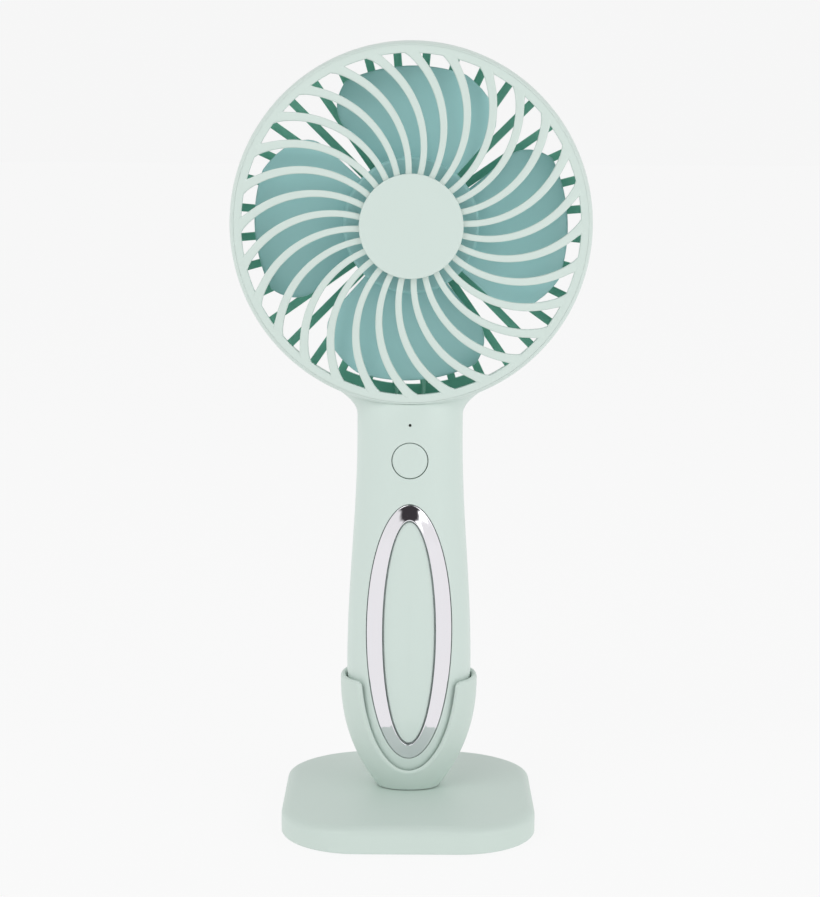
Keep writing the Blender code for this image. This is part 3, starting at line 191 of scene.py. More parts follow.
@dataclass(frozen=True)
class Finish:
    """One material: its colour, gloss and close-up figure."""

    name: str
    colour: Colour
    roughness: float = 0.42
    metallic: float = 0.0
    texture: Texture = Texture.MOULDED
    grain: float = 0.00004
    mottle: float = 0.03
    shade: Colour | None = None
    coat: float = 0.0

    def made(self) -> bpy.types.Material:
        """The material, built on first use."""
        found = bpy.data.materials.get(self.name)
        return found if found else self.build()

    def build(self) -> bpy.types.Material:
        """Build the material's nodes.

        Returns:
            The new material.
        """
        material = bpy.data.materials.new(self.name)
        material.use_nodes = True
        graph = Graph(material.node_tree)
        place = graph.out(graph.node("ShaderNodeTexCoord"), "Object")
        if self.texture is Texture.BRUSHED:
            stretch = graph.node("ShaderNodeMapping", None, Vector=place, Scale=(1.0, 1.0, 0.04))
            place = graph.out(stretch)
        cloud = self.noise(graph, place, 90.0, 3.0)
        fine = self.noise(graph, place, self.fine_scale(), 2.0)
        wear = self.noise(graph, place, 700.0, 4.0)
        amount = cloud * self.mottle + fine * (self.mottle * 0.5)
        other = self.shade or tuple(channel * 0.72 for channel in self.colour)
        blend = graph.node("ShaderNodeMix", {"data_type": "RGBA"}, Factor=self.pattern(graph, amount, place))
        blend.inputs[6].default_value = (*self.colour, 1.0)
        blend.inputs[7].default_value = (*other, 1.0)
        rough = self.roughness + (wear - 0.5) * (0.16 * self.roughness + 0.02)
        bump = graph.node("ShaderNodeBump", None, Strength=0.35, Distance=self.grain,
                          Height=fine + wear * 0.4)
        shader = graph.node("ShaderNodeBsdfPrincipled", None, Base_Color=blend.outputs[2],
                            Roughness=rough, Normal=bump.outputs[0], Metallic=self.metallic)
        shader.inputs["Coat Weight"].default_value = self.coat
        graph.node("ShaderNodeOutputMaterial", None, Surface=shader.outputs[0])
        return material

    def fine_scale(self) -> float:
        """Grains per metre of the finest figure.

        Returns:
            The scale of the finest noise.
        """
        scales = {Texture.MOULDED: 5200.0, Texture.BRUSHED: 9000.0, Texture.PLATED: 1500.0,
                  Texture.SPECKLED: 3000.0, Texture.TRACKED: 1100.0}
        return scales[self.texture]

    def pattern(self, graph: Graph, amount: Wire, place: Wire) -> Wire:
        """The share of the second colour over the surface.

        Args:
            graph: the material's tree.
            amount: the plain mottle.
            place: the coordinates.
        Returns:
            The share, wrapped.
        """
        if self.texture is Texture.SPECKLED:
            return amount + self.noise(graph, place, 2600.0, 1.0).step(0.62, 0.7) * 0.5
        if self.texture is Texture.TRACKED:
            wave = graph.node("ShaderNodeTexWave", {"wave_type": "BANDS", "bands_direction": "DIAGONAL"},
                              Vector=place, Scale=260.0, Distortion=3.0)
            return amount + graph.out(wave, 1).step(0.7, 0.8) * 0.6
        return amount

    @staticmethod
    def noise(graph: Graph, place: Wire, scale: float, detail: float) -> Wire:
        """Cloudy noise over the object's own coordinates."""
        made = graph.node("ShaderNodeTexNoise", None, Vector=place, Scale=scale, Detail=detail)
        return graph.out(made, 0)


MINT = Finish("mint_plastic", (0.625, 0.725, 0.68), 0.4)
MINT_STAND = Finish("mint_stand_plastic", (0.60, 0.70, 0.65), 0.46)
# a darker copy of the mint that paints the shade inside the head, on the neck web and in the screw seats
MINT_PAINTED_SHADE = Finish("mint_plastic_painted_shade", (0.21, 0.57, 0.43), 0.45)
TEAL = Finish("teal_plastic", (0.37, 0.65, 0.65), 0.36, shade=(0.28, 0.55, 0.55))
CHROME = Finish("bright_plating", (0.84, 0.825, 0.86), 0.06, 1.0, Texture.PLATED, 0.000004, 0.02)
PLATE = Finish("base_plate_plastic", (0.50, 0.62, 0.56), 0.6, texture=Texture.SPECKLED)
RUBBER = Finish("foot_rubber", (0.035, 0.035, 0.037), 0.82, texture=Texture.SPECKLED)
SCREW = Finish("zinc_screw", (0.60, 0.61, 0.63), 0.3, 1.0, Texture.BRUSHED, 0.00001, 0.2)
IRON = Finish("turned_iron", (0.30, 0.31, 0.33), 0.4, 1.0, Texture.BRUSHED, 0.00002, 0.3)
SLEEVE = Finish("cell_sleeve", (0.05, 0.2, 0.5), 0.25, coat=0.4)
NICKEL = Finish("nickel_strip", (0.68, 0.66, 0.62), 0.3, 1.0, Texture.BRUSHED, 0.00001, 0.2)
LEAD_RED = Finish("red_insulation", (0.55, 0.03, 0.025), 0.5)
LEAD_BLACK = Finish("black_insulation", (0.025, 0.025, 0.028), 0.5)
LEAD_PALE = Finish("pale_insulation", (0.33, 0.62, 0.49), 0.5)
LAMINATE = Finish("board_laminate", (0.015, 0.14, 0.06), 0.35, texture=Texture.TRACKED,
                  shade=(0.05, 0.3, 0.12))
STEEL = Finish("bright_steel", (0.62, 0.62, 0.64), 0.25, 1.0, Texture.BRUSHED, 0.00001, 0.2)
BRONZE = Finish("sintered_bronze", (0.55, 0.36, 0.14), 0.5, 1.0, Texture.SPECKLED, 0.00002, 0.3)
FERRITE = Finish("ferrite", (0.05, 0.05, 0.055), 0.6, 0.2, Texture.SPECKLED)
CARBON = Finish("carbon", (0.02, 0.02, 0.02), 0.7, texture=Texture.SPECKLED)
NYLON = Finish("pale_nylon", (0.72, 0.71, 0.66), 0.5)
COPPER = Finish("copper", (0.70, 0.30, 0.13), 0.3, 1.0, Texture.BRUSHED, 0.00001, 0.2)
LIGHT_PIPE = Finish("light_pipe", (0.03, 0.035, 0.03), 0.15, texture=Texture.PLATED)


# ---------------------------------------------------------------- mesh tools

def mesh_object(name: str, mesh: bpy.types.Mesh) -> bpy.types.Object:
    """Link a mesh as an object at the origin.

    Args:
        name: the object's name.
        mesh: its mesh.
    Returns:
        The new object.
    """
    made = bpy.data.objects.new(name, mesh)
    bpy.context.scene.collection.objects.link(made)
    return made


def skin(name: str, grid: np.ndarray, closed_rows: bool = False, caps: bool = True) -> bpy.types.Object:
    """Quads over a grid of points whose columns run round a closed loop.

    Args:
        name: the object's name.
        grid: points as rows by columns by 3.
        closed_rows: whether the last row joins the first, as on a ring.
        caps: whether open ends are closed.
    Returns:
        A closed object that faces outwards.
    """
    rows, columns = grid.shape[:2]
    bm = bmesh.new()
    verts = [bm.verts.new(point) for point in grid.reshape(-1, 3)]
    for row in range(rows if closed_rows else rows - 1):
        here = row * columns
        there = ((row + 1) % rows) * columns
        for column in range(columns):
            after = (column + 1) % columns
            bm.faces.new((verts[here + column], verts[here + after],
                          verts[there + after], verts[there + column]))
    if caps and not closed_rows:
        bm.faces.new(verts[:columns])
        bm.faces.new(list(reversed(verts[-columns:])))
    bmesh.ops.remove_doubles(bm, verts=bm.verts, dist=MERGE_DISTANCE)
    bmesh.ops.recalc_face_normals(bm, faces=bm.faces)
    mesh = bpy.data.meshes.new(name)
    bm.to_mesh(mesh)
    bm.free()
    return mesh_object(name, mesh)


def arc(centre: Point, radius: Point, start: float, end: float, steps: int) -> list[Point]:
    """Points of an elliptic arc, with its angles in degrees.

    Args:
        centre: the middle.
        radius: both half axes.
        start: the first angle.
        end: the last angle.
        steps: segments between them.
    Returns:
        The points, both ends included.
    """
    points = []
    for step in range(steps + 1):
        angle = math.radians(start + (end - start) * step / steps)
        points.append((centre[0] + radius[0] * math.cos(angle), centre[1] + radius[1] * math.sin(angle)))
    return points


def eased(corners: Sequence[Place], steps: int = 4) -> list[Point]:
    """A closed outline with rounded corners.

    Args:
        corners: x, y and rounding of each corner in order.
        steps: segments in each rounding.
    Returns:
        The outline's points.
    """
    outline = []
    for index, (x, y, radius) in enumerate(corners):
        here = Vector((x, y))
        before = Vector(corners[index - 1][:2]) - here
        after = Vector(corners[(index + 1) % len(corners)][:2]) - here
        if radius <= 0:
            outline.append((x, y))
            continue
        reach = min(radius, before.length * 0.49, after.length * 0.49)
        first = here + before.normalized() * reach
        last = here + after.normalized() * reach
        for step in range(steps + 1):
            share = step / steps
            point = first * (1 - share) ** 2 + here * 2 * share * (1 - share) + last * share ** 2
            outline.append((point.x, point.y))
    return outline


def turned(name: str, outline: Sequence[Point], segments: int = 192, ring: bool = True) -> bpy.types.Object:
    """A solid turned about the fan axis from (radius, depth) points; depth is along +Y.

    Args:
        name: the object's name.
        outline: the section's points in order.
        segments: steps round the axis.
        ring: whether the section is a closed loop, or else ends on the axis.
    Returns:
        The closed solid.
    """
    turns = np.linspace(0, math.tau, segments, endpoint=False) + math.pi / segments
    profile = np.array(outline)
    grid = np.zeros((len(profile), segments, 3))
    grid[:, :, 0] = profile[:, :1] * np.cos(turns)
    grid[:, :, 1] = profile[:, 1:]
    grid[:, :, 2] = AXIS_Z + profile[:, :1] * np.sin(turns)
    return skin(name, grid, closed_rows=ring, caps=not ring)


def plain(obj: bpy.types.Object) -> bpy.types.Object:
    """Replace an object's mesh by what its modifiers make of it, and remove them.

    Args:
        obj: the object.
    Returns:
        The same object.
    """
    bpy.context.view_layer.update()
    graph = bpy.context.evaluated_depsgraph_get()
    mesh = bpy.data.meshes.new_from_object(obj.evaluated_get(graph))
    obj.modifiers.clear()
    obj.data = mesh
    return obj


def joined(name: str, parts: Iterable[bpy.types.Object]) -> bpy.types.Object:
    """One object from several meshes at the origin, keeping each one's material.

    Args:
        name: the object's name.
        parts: the objects to join, which are removed.
    Returns:
        The joined object.
    """
    bm = bmesh.new()
    materials = []
    parts = list(parts)
    for part in parts:
        count = len(bm.faces)
        bm.from_mesh(part.data)
        bm.faces.ensure_lookup_table()
        slots = [m for m in part.data.materials] or [None]
        for face in bm.faces[count:]:
            material = slots[min(face.material_index, len(slots) - 1)]
            if material not in materials:
                materials.append(material)
            face.material_index = materials.index(material)
    mesh = bpy.data.meshes.new(name)
    bm.to_mesh(mesh)
    bm.free()
    for material in materials:
        mesh.materials.append(material)
    for part in parts:
        bpy.data.objects.remove(part, do_unlink=True)
    return mesh_object(name, mesh)


def combine(target: bpy.types.Object, tools: Iterable[bpy.types.Object], operation: str) -> bpy.types.Object:
    """Cut, join or intersect a solid with others, which are then removed.

    Args:
        target: the solid that is kept.
        tools: the other solids.
        operation: DIFFERENCE, UNION or INTERSECT.
    Returns:
        The same solid, changed.
    """
    group = bpy.data.collections.new("tools")
    bpy.context.scene.collection.children.link(group)
    tools = list(tools)
    for tool in tools:
        bpy.context.scene.collection.objects.unlink(tool)
        group.objects.link(tool)
    modifier = target.modifiers.new("combine", "BOOLEAN")
    modifier.operation = operation
    modifier.operand_type = "COLLECTION"
    modifier.collection = group
    modifier.solver = "EXACT"
    plain(target)
    for tool in tools:
        bpy.data.objects.remove(tool, do_unlink=True)
    bpy.data.collections.remove(group)
    return target


def dress(obj: bpy.types.Object, finish: Finish, sharp: float = 38.0) -> bpy.types.Object:
    """Give every face one finish and smooth the round surfaces.

    Args:
        obj: the object.
        finish: its finish.
        sharp: the angle in degrees from which an edge stays sharp.
    Returns:
        The same object.
    """
    obj.data.materials.clear()
    obj.data.materials.append(finish.made())
    obj.data.shade_smooth()
    obj.data.set_sharp_from_angle(angle=math.radians(sharp))
    return obj


def settle(obj: bpy.types.Object, body: str, slot: str, *nodes: str) -> bpy.types.Object:
    """Put a finished piece on its body and hide the nodes that it stands for.

    Args:
        obj: the piece.
        body: the body that carries it.
        slot: its material slot; not used.
        nodes: the nodes that it stands for.
    Returns:
        The same piece.
    """
    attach(obj, body)
    if nodes:
        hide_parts(*nodes)
    obj.data.calc_loop_triangles()
    log.info("%s on %s: %d triangles, stands for %s", obj.name, body,
             len(obj.data.loop_triangles), ", ".join(nodes) or "nothing")
    return obj


# ---------------------------------------------------------------- repeats

def repeat_tree(name: str) -> bpy.types.NodeTree:
    """A tree that repeats its mesh round the fan axis; its inputs are Count, Height and Finish.

    Args:
        name: the tree's name.
    Returns:
        The new tree.
    """
    tree = bpy.data.node_groups.new(name, "GeometryNodeTree")
    face = tree.interface
    face.new_socket("Geometry", in_out="INPUT", socket_type="NodeSocketGeometry")
    face.new_socket("Count", in_out="INPUT", socket_type="NodeSocketInt")
    face.new_socket("Height", in_out="INPUT", socket_type="NodeSocketFloat")
    face.new_socket("Finish", in_out="INPUT", socket_type="NodeSocketMaterial")
    face.new_socket("Geometry", in_out="OUTPUT", socket_type="NodeSocketGeometry")
    graph = Graph(tree)
    given = graph.node("NodeGroupInput")
    height = graph.out(given, "Height")
    centre = graph.node("ShaderNodeCombineXYZ", None, Z=height)
    down = graph.node("ShaderNodeCombineXYZ", None, Z=height * -1.0)
    drop = graph.node("GeometryNodeTransform", None, Geometry=given.outputs["Geometry"],
                      Translation=down.outputs[0])
    points = graph.node("GeometryNodePoints", None, Count=given.outputs["Count"],
                        Position=centre.outputs[0])
    index = graph.out(graph.node("GeometryNodeInputIndex"))
    turn = index * -math.tau / graph.out(given, "Count")
    turned_by = graph.node("ShaderNodeCombineXYZ", None, Y=turn)
    copies = graph.node("GeometryNodeInstanceOnPoints", None, Points=points.outputs[0],
                        Instance=drop.outputs[0], Rotation=turned_by.outputs[0])
    real = graph.node("GeometryNodeRealizeInstances", None, Geometry=copies.outputs[0])
    painted = graph.node("GeometryNodeSetMaterial", None, Geometry=real.outputs[0],
                         Material=given.outputs["Finish"])
    graph.node("NodeGroupOutput", None, Geometry=painted.outputs[0])
    return tree


def scatter_tree(name: str) -> bpy.types.NodeTree:
    """A tree that puts a piece on every point of its mesh; its inputs are Piece and Finish.

    Args:
        name: the tree's name.
    Returns:
        The new tree.
    """
    tree = bpy.data.node_groups.new(name, "GeometryNodeTree")
    face = tree.interface
    face.new_socket("Geometry", in_out="INPUT", socket_type="NodeSocketGeometry")
    face.new_socket("Piece", in_out="INPUT", socket_type="NodeSocketObject")
    face.new_socket("Finish", in_out="INPUT", socket_type="NodeSocketMaterial")
    face.new_socket("Geometry", in_out="OUTPUT", socket_type="NodeSocketGeometry")
    graph = Graph(tree)
    given = graph.node("NodeGroupInput")
    piece = graph.node("GeometryNodeObjectInfo", None, Object=given.outputs["Piece"])
    points = graph.node("GeometryNodeMeshToPoints", None, Mesh=given.outputs["Geometry"])
    copies = graph.node("GeometryNodeInstanceOnPoints", None, Points=points.outputs[0],
                        Instance=piece.outputs["Geometry"])
    real = graph.node("GeometryNodeRealizeInstances", None, Geometry=copies.outputs[0])
    painted = graph.node("GeometryNodeSetMaterial", None, Geometry=real.outputs[0],
                         Material=given.outputs["Finish"])
    graph.node("NodeGroupOutput", None, Geometry=painted.outputs[0])
    return tree


def apply_tree(obj: bpy.types.Object, tree: bpy.types.NodeTree, **values: object) -> bpy.types.Object:
    """Run a tree on an object and keep the result as its plain mesh.

    Args:
        obj: the object whose mesh goes in.
        tree: the geometry tree.
        values: the tree's inputs by name.
    Returns:
        The same object.
    """
    modifier = obj.modifiers.new(tree.name, "NODES")
    modifier.node_group = tree
    for item in tree.interface.items_tree:
        if item.in_out == "INPUT" and item.name in values:
            modifier[item.identifier] = values[item.name]
    return plain(obj)


def repeated(obj: bpy.types.Object, count: int, finish: Finish) -> bpy.types.Object:
    """Repeat a piece round the fan axis."""
    tree = bpy.data.node_groups.get("repeat_round_axis") or repeat_tree("repeat_round_axis")
    return apply_tree(obj, tree, Count=count, Height=AXIS_Z, Finish=finish.made())


# ---------------------------------------------------------------- handle

@dataclass
class HandleShape:
    """The handle's outer shape: a rounded oval that swells to a belly and seats in the cradle."""

    bottom: float = 12.0 * MM
    belly_z: float = 45.0 * MM
    belly: Point = (17.8 * MM, 13.0 * MM)
    neck_z: float = 113.0 * MM
    neck: Point = (14.95 * MM, 12.0 * MM)
    wall: float = 2.2 * MM
    power: float = 2.3
    flare_start: float = 117.7 * MM
    flare_radius: float = 4.3 * MM
    dip_radius: float = 22.0 * MM
    foot_z: float = 9.3 * MM
    rim_z: float = 42.4 * MM
    rim: Point = (19.65 * MM, 15.6 * MM)
    foot: Point = (8.9 * MM, 7.4 * MM)
    taper: float = 2.35
    seat_inset: float = 2.0 * MM

    def cup(self, z: float, inset: float = 0.0) -> Point:
        """Half width and half depth of the cradle's outside at a height.

        Args:
            z: the height.
            inset: how far inside the surface.
        Returns:
            Half width and half depth.
        """
        rise = min(max((z - self.foot_z) / (self.rim_z - self.foot_z), 0.0), 1.0)
        share = 1.0 - (1.0 - rise) ** self.taper
        width, depth = (a + (b - a) * share for a, b in zip(self.foot, self.rim))
        return width - inset, depth - inset

    def size(self, z: float, inset: float = 0.0) -> Point:
        """Half width and half depth of the handle at a height.

        Args:
            z: the height.
            inset: how far inside the surface.
        Returns:
            Half width and half depth.
        """
        rise = min(max((z - self.belly_z) / (self.neck_z - self.belly_z), 0.0), 1.0)
        slim = 0.5 - 0.5 * math.cos(math.pi * rise)
        width, depth = (a + (b - a) * slim for a, b in zip(self.belly, self.neck))
        if z < self.rim_z:
            cup = self.cup(z, self.seat_inset)
            width = min(width, cup[0])
            depth = min(depth, cup[1])
        if z > self.neck_z:
            depth -= (z - self.neck_z) ** 2 / (2 * self.dip_radius)
        if z > self.flare_start:
            width += (z - self.flare_start) ** 2 / (2 * self.flare_radius)
        return width - inset, depth - inset

    def loop(self, width: float, depth: float, z: float, count: int = 112) -> np.ndarray:
        """One level outline of the handle or cradle.

        Args:
            width: half its width.
            depth: half its depth.
            z: its height.
            count: its points.
        Returns:
            The points as rows of x, y and z.
        """
        turns = np.linspace(0, math.tau, count, endpoint=False)
        x = width * np.sign(np.cos(turns)) * np.abs(np.cos(turns)) ** (2 / self.power)
        y = depth * np.sign(np.sin(turns)) * np.abs(np.sin(turns)) ** (2 / self.power)
        return np.stack([x, y, np.full(count, z)], axis=1)

    def surface(self, x: float, z: float, inset: float = 0.0) -> float:
        """Depth of the front surface at a point of the front view, as a Y coordinate.

        Args:
            x: the place across.
            z: the height.
            inset: how far inside the surface.
        Returns:
            The Y coordinate.
        """
        width, depth = self.size(z, inset)
        across = min(abs(x) / width, 1.0)
        return -depth * (1 - across ** self.power) ** (1 / self.power)

    def solid(self, name: str, bottom: float, top: float, inset: float = 0.0, levels: int = 84,
              count: int = 112) -> bpy.types.Object:
        """A closed solid of the handle between two heights."""
        rows = [self.loop(*self.size(z, inset), z, count) for z in np.linspace(bottom, top, levels)]
        return skin(name, np.array(rows))


HANDLE = HandleShape()
BUTTON_Z = 105.9 * MM
BUTTON_RADIUS = 4.95 * MM
LIGHT_Z = 115.9 * MM
HEAD_RADIUS = 50.5 * MM
HEAD_WALL = 1.5 * MM
BORE = HEAD_RADIUS - HEAD_WALL
FACE_Y = -11.0 * MM
BACK_Y = 12.0 * MM
BACK_DOME = 5.0 * MM
SEAM = 0.15 * MM
FAR = 120 * MM


def rod(name: str, radius: float, front: float, back: float, x: float, z: float,
        segments: int = 48) -> bpy.types.Object:
    """A cylinder parallel to the fan axis between two depths.

    Args:
        name: the object's name.
        radius: its radius.
        front: the Y of its front end.
        back: the Y of its back end.
        x: the place across of its middle.
        z: the height of its middle.
        segments: steps round it.
    Returns:
        The closed cylinder.
    """
    turns = np.linspace(0, math.tau, segments, endpoint=False)
    rows = []
    for depth in (front, back):
        rows.append(np.stack([x + radius * np.cos(turns), np.full(segments, depth),
                              z + radius * np.sin(turns)], axis=1))
    return skin(name, np.array(rows))


def block(name: str, low: Sequence[float], high: Sequence[float]) -> bpy.types.Object:
    """A box between two corners."""
    corners = [(low[0], low[1]), (high[0], low[1]), (high[0], high[1]), (low[0], high[1])]
    return skin(name, np.array([[(x, y, z) for x, y in corners] for z in (low[2], high[2])]))


@dataclass
class Oval:
    """The upright oval of the trim, on the front of the handle."""

    z: float = 56.65 * MM
    half_width: float = 12.24 * MM
    half_height: float = 37.05 * MM
    band: float = 4.9 * MM
    depth: float = 1.2 * MM

    def point(self, turn: float, inset: float) -> Point:
        """A point of the oval in the front view, drawn in by an inset."""
        return ((self.half_width - inset) * math.cos(turn),
                self.z + (self.half_height - inset) * math.sin(turn))

    def follow(self, name: str, outline: Sequence[Point], count: int = 220) -> bpy.types.Object:
        """A ring that follows the handle's front.

        Args:
            name: the object's name.
            outline: its cross-section as (inset, height above the handle's surface).
            count: stations round the oval.
        Returns:
            The closed ring.
        """
        rows = []
        for turn in np.linspace(0, math.tau, count, endpoint=False):
            row = []
            for inset, height in outline:
                x, z = self.point(turn, inset)
                row.append((x, HANDLE.surface(x, z) - height, z))
            rows.append(row)
        return skin(name, np.array(rows), closed_rows=True)

    def disc(self, name: str, outline: Sequence[Point], count: int = 128) -> bpy.types.Object:
        """A closed oval plate that follows the handle's front, from its rim outline inwards.

        Args:
            name: the object's name.
            outline: its section as (inset, height above the handle's surface).
            count: stations round the oval.
        Returns:
            The closed plate.
        """
        rows = []
        for inset, height in outline:
            row = []
            for turn in np.linspace(0, math.tau, count, endpoint=False):
                x, z = self.point(turn, inset)
                row.append((x, HANDLE.surface(x, z) - height, z))
            rows.append(row)
        return skin(name, np.array(rows))

    def prism(self, name: str, count: int = 160) -> bpy.types.Object:
        """The pocket's cutter, down to its floor."""
        return self.disc(name, [(0, 4 * MM), (0, -self.depth)] + [
            (self.half_width * share, -self.depth) for share in (0.2, 0.4, 0.6, 0.8, 0.96)], count)


OVAL = Oval()


# ---------------------------------------------------------------- the fan's shells

@dataclass
class HandleShells:
    """Front and rear mouldings: each is half the handle and half the head ring."""

    screws: list[Point] = field(default_factory=lambda: [
        (0.0, 20.0 * MM), (10.2 * MM, 112.0 * MM), (-10.2 * MM, 112.0 * MM)])
    button_gap: float = 0.22 * MM
    light_radius: float = 0.42 * MM
    hole_depth: float = -7.9 * MM
    wall_top: float = 126.0 * MM
    cavity_top: float = 119.1 * MM
    front_round: float = 7.0 * MM
    back_round: float = 2.6 * MM
    ledge: float = 1.5 * MM
    ledge_back: float = -6.9 * MM
    ledge_slope: float = -8.0 * MM
    ledge_front: float = -9.1 * MM
    ring_lap: float = 1.0 * MM
    screw_seat: Point = (2.25 * MM, 6.0 * MM)
    boss_radius: float = 3.0 * MM
    port: Place = (101.0 * MM, 4.1 * MM, 1.7 * MM)
    back_ribs: int = 36
    rib_width: float = 2.3 * MM
    rib_start_deg: float = 5.0
    rib_depths: Point = (2.0 * MM, 0.4 * MM)
    rib_lap: float = 0.6 * MM
    root_lap: float = 0.5 * MM
    # how far back a face must look to escape the painted shade
    inward: float = 0.55
    cup_radius: float = 14.1 * MM
    cup_wall: float = 1.8 * MM
    cup_mouth: float = 6.6 * MM
    hub_radius: float = 16.1 * MM
    hub_thick: float = 1.4 * MM
    web_width: float = 2.8 * MM
    web_depths: Point = (10.1 * MM, 11.6 * MM)
    web_deg: Point = (246.0, 294.0)

    def wall(self, name: str) -> bpy.types.Object:
        """The handle's wall all round, cut away for the head.

        Args:
            name: the object's name.
        Returns:
            The hollow handle.
        """
        body = HANDLE.solid(name, HANDLE.bottom, self.wall_top)
        floor = HANDLE.bottom + HANDLE.wall
        cavity = HANDLE.solid("cavity", floor, self.cavity_top, HANDLE.wall, 50, 80)
        bore = rod("bore", BORE + HEAD_WALL / 2, -FAR, FAR, 0.0, AXIS_Z, 256)
        return combine(body, [cavity, bore], "DIFFERENCE")

    def front(self) -> bpy.types.Object:
        """The front moulding, with its pocket, button hole and light hole.

        Returns:
            The finished piece.
        """
        shell = self.wall("front_shell_fine")
        inner = BORE - self.ledge
        outline = arc((BORE, FACE_Y + self.front_round), (HEAD_WALL, -self.front_round), 90, 0, 16)
        outline += [(HEAD_RADIUS, self.ring_lap), (BORE, self.ring_lap), (BORE, self.ledge_back),
                    (inner, self.ledge_slope), (inner, self.ledge_front), (BORE, self.ledge_front)]
        combine(shell, [turned("ring", outline, 224)], "UNION")
        cuts = [
            OVAL.prism("pocket"),
            rod("button_hole", BUTTON_RADIUS + self.button_gap, -FAR, self.hole_depth, 0.0, BUTTON_Z, 96),
            rod("light_hole", self.light_radius, -FAR, self.hole_depth, 0.0, LIGHT_Z, 32),
            block("parting", (-FAR, -SEAM, -FAR), (FAR, FAR, 3 * FAR)),
        ]
        combine(shell, cuts, "DIFFERENCE")
        dress(shell, MINT)
        return settle(shell, "fan", "shell_plastic", "front_shell")

    def rear(self) -> bpy.types.Object:
        """The rear moulding with its grille and motor cup.

        Returns:
            The finished piece.
        """
        shell = self.wall("rear_shell_wall")
        outline = [(BORE, -self.ring_lap), (HEAD_RADIUS, -self.ring_lap)]
        outline += arc((BORE, BACK_Y - self.back_round), (HEAD_WALL, self.back_round), 0, 90, 10)
        combine(shell, [turned("ring", outline, 224)], "UNION")
        cuts = [block("parting", (-FAR, -FAR, -FAR), (FAR, SEAM, 3 * FAR))]
        z, half_width, half_height = self.port
        cuts.append(block("port", (-half_width, 4 * MM, z - half_height), (half_width, FAR, z + half_height)))
        for x, height in self.screws:
            cuts.append(rod("seat", self.screw_seat[0], self.screw_seat[1], FAR, x, height, 48))
        combine(shell, cuts, "DIFFERENCE")
        dress(shell, MINT)
        piece = joined("rear_shell_fine", [shell, *self.bosses(), self.ribs(), self.motor_cup(), self.web()])
        piece.data.set_sharp_from_angle(angle=math.radians(38))
        return settle(piece, "fan", "shell_plastic", "rear_shell")

    def bosses(self) -> list[bpy.types.Object]:
        """The floors on which the shell screws' heads sit.

        Returns:
            One plug for each screw.
        """
        made = []
        for x, z in self.screws:
            boss = rod("boss", self.boss_radius, SEAM, self.screw_seat[1], x, z, 48)
            # painted shade: the seat floors in their recesses take the darker mint
            made.append(dress(boss, MINT_PAINTED_SHADE))
        return made

    def bulge(self, radius: float) -> float:
        """How far the rear grille stands behind its rim at a radius."""
        share = min(max((BORE - radius) / (BORE - self.hub_radius), 0.0), 1.0)
        return BACK_DOME * share

    def ribs(self) -> bpy.types.Object:
        """The straight radial ribs of the rear grille.

        Returns:
            All the ribs as one object.
        """
        rows = []
        half = self.rib_width / 2
        turn = math.radians(self.rib_start_deg)
        for radius in np.linspace(self.cup_radius - self.rib_lap, BORE + self.root_lap, 14):
            front, back = (BACK_Y - depth + self.bulge(radius) for depth in self.rib_depths)
            outline = eased([(-half, front, 0.5 * MM), (half, front, 0.5 * MM),
                             (half, back, 0.6 * MM), (-half, back, 0.6 * MM)], 3)
            rows.append([(radius * math.cos(turn) - across * math.sin(turn), depth,
                          AXIS_Z + radius * math.sin(turn) + across * math.cos(turn))
                         for across, depth in outline])
        rib = skin("back_ribs", np.array(rows))
        repeated(rib, self.back_ribs, MINT)
        # painted shade: rib faces that look into the head get the darker mint
        return self.paint_shade_inside(rib)

    def paint_shade_inside(self, obj: bpy.types.Object) -> bpy.types.Object:
        """Paint shade on the faces that look into the head by giving them a darker copy of the mint.

        Args:
            obj: the object.
        Returns:
            The same object.
        """
        obj.data.materials.append(MINT_PAINTED_SHADE.made())
        painted_shade_index = len(obj.data.materials) - 1
        # faces that look less far back than this get the painted shade
        for polygon in obj.data.polygons:
            if polygon.normal.y < self.inward:
                polygon.material_index = painted_shade_index
        return obj

    def motor_cup(self) -> bpy.types.Object:
        """The cup that holds the motor, closed at the back.

        Returns:
            The closed cup.
        """
        inner, outer, hub = self.cup_radius - self.cup_wall, self.cup_radius, self.hub_radius
        back = BACK_Y + BACK_DOME
        floor, under, groove = back - 2 * MM, back - self.hub_thick, back - 0.35 * MM
        rounding = self.hub_thick / 2
        outline = [(0.0, floor), (inner, floor), (inner, self.cup_mouth), (outer, self.cup_mouth),
                   (outer, under), (hub, under)]
        outline += arc((hub, back - rounding), (rounding, rounding), -90, 90, 6)
        outline += [(hub * 0.82, back), (hub * 0.8, groove), (hub * 0.76, groove), (hub * 0.74, back),
                    (0.0, back)]
        cup = turned("motor_cup", outline, 128, ring=False)
        return dress(cup, MINT)

    def web(self) -> bpy.types.Object:
        """The plate over the neck, where the leads pass and the openings stop short.

        Returns:
            The closed plate.
        """
        rows = []
        inner, outer = BORE - self.web_width, BORE + self.root_lap
        front, back = self.web_depths
        outline = [(inner, front), (outer, front), (outer, back), (inner, back)]
        for degrees in np.linspace(*self.web_deg, 49):
            turn = math.radians(degrees)
            rows.append([(radius * math.cos(turn), depth, AXIS_Z + radius * math.sin(turn))
                         for radius, depth in outline])
        # painted shade: the web inside the head takes the darker mint
        return dress(skin("web", np.array(rows)), MINT_PAINTED_SHADE)


# ---------------------------------------------------------------- front grille

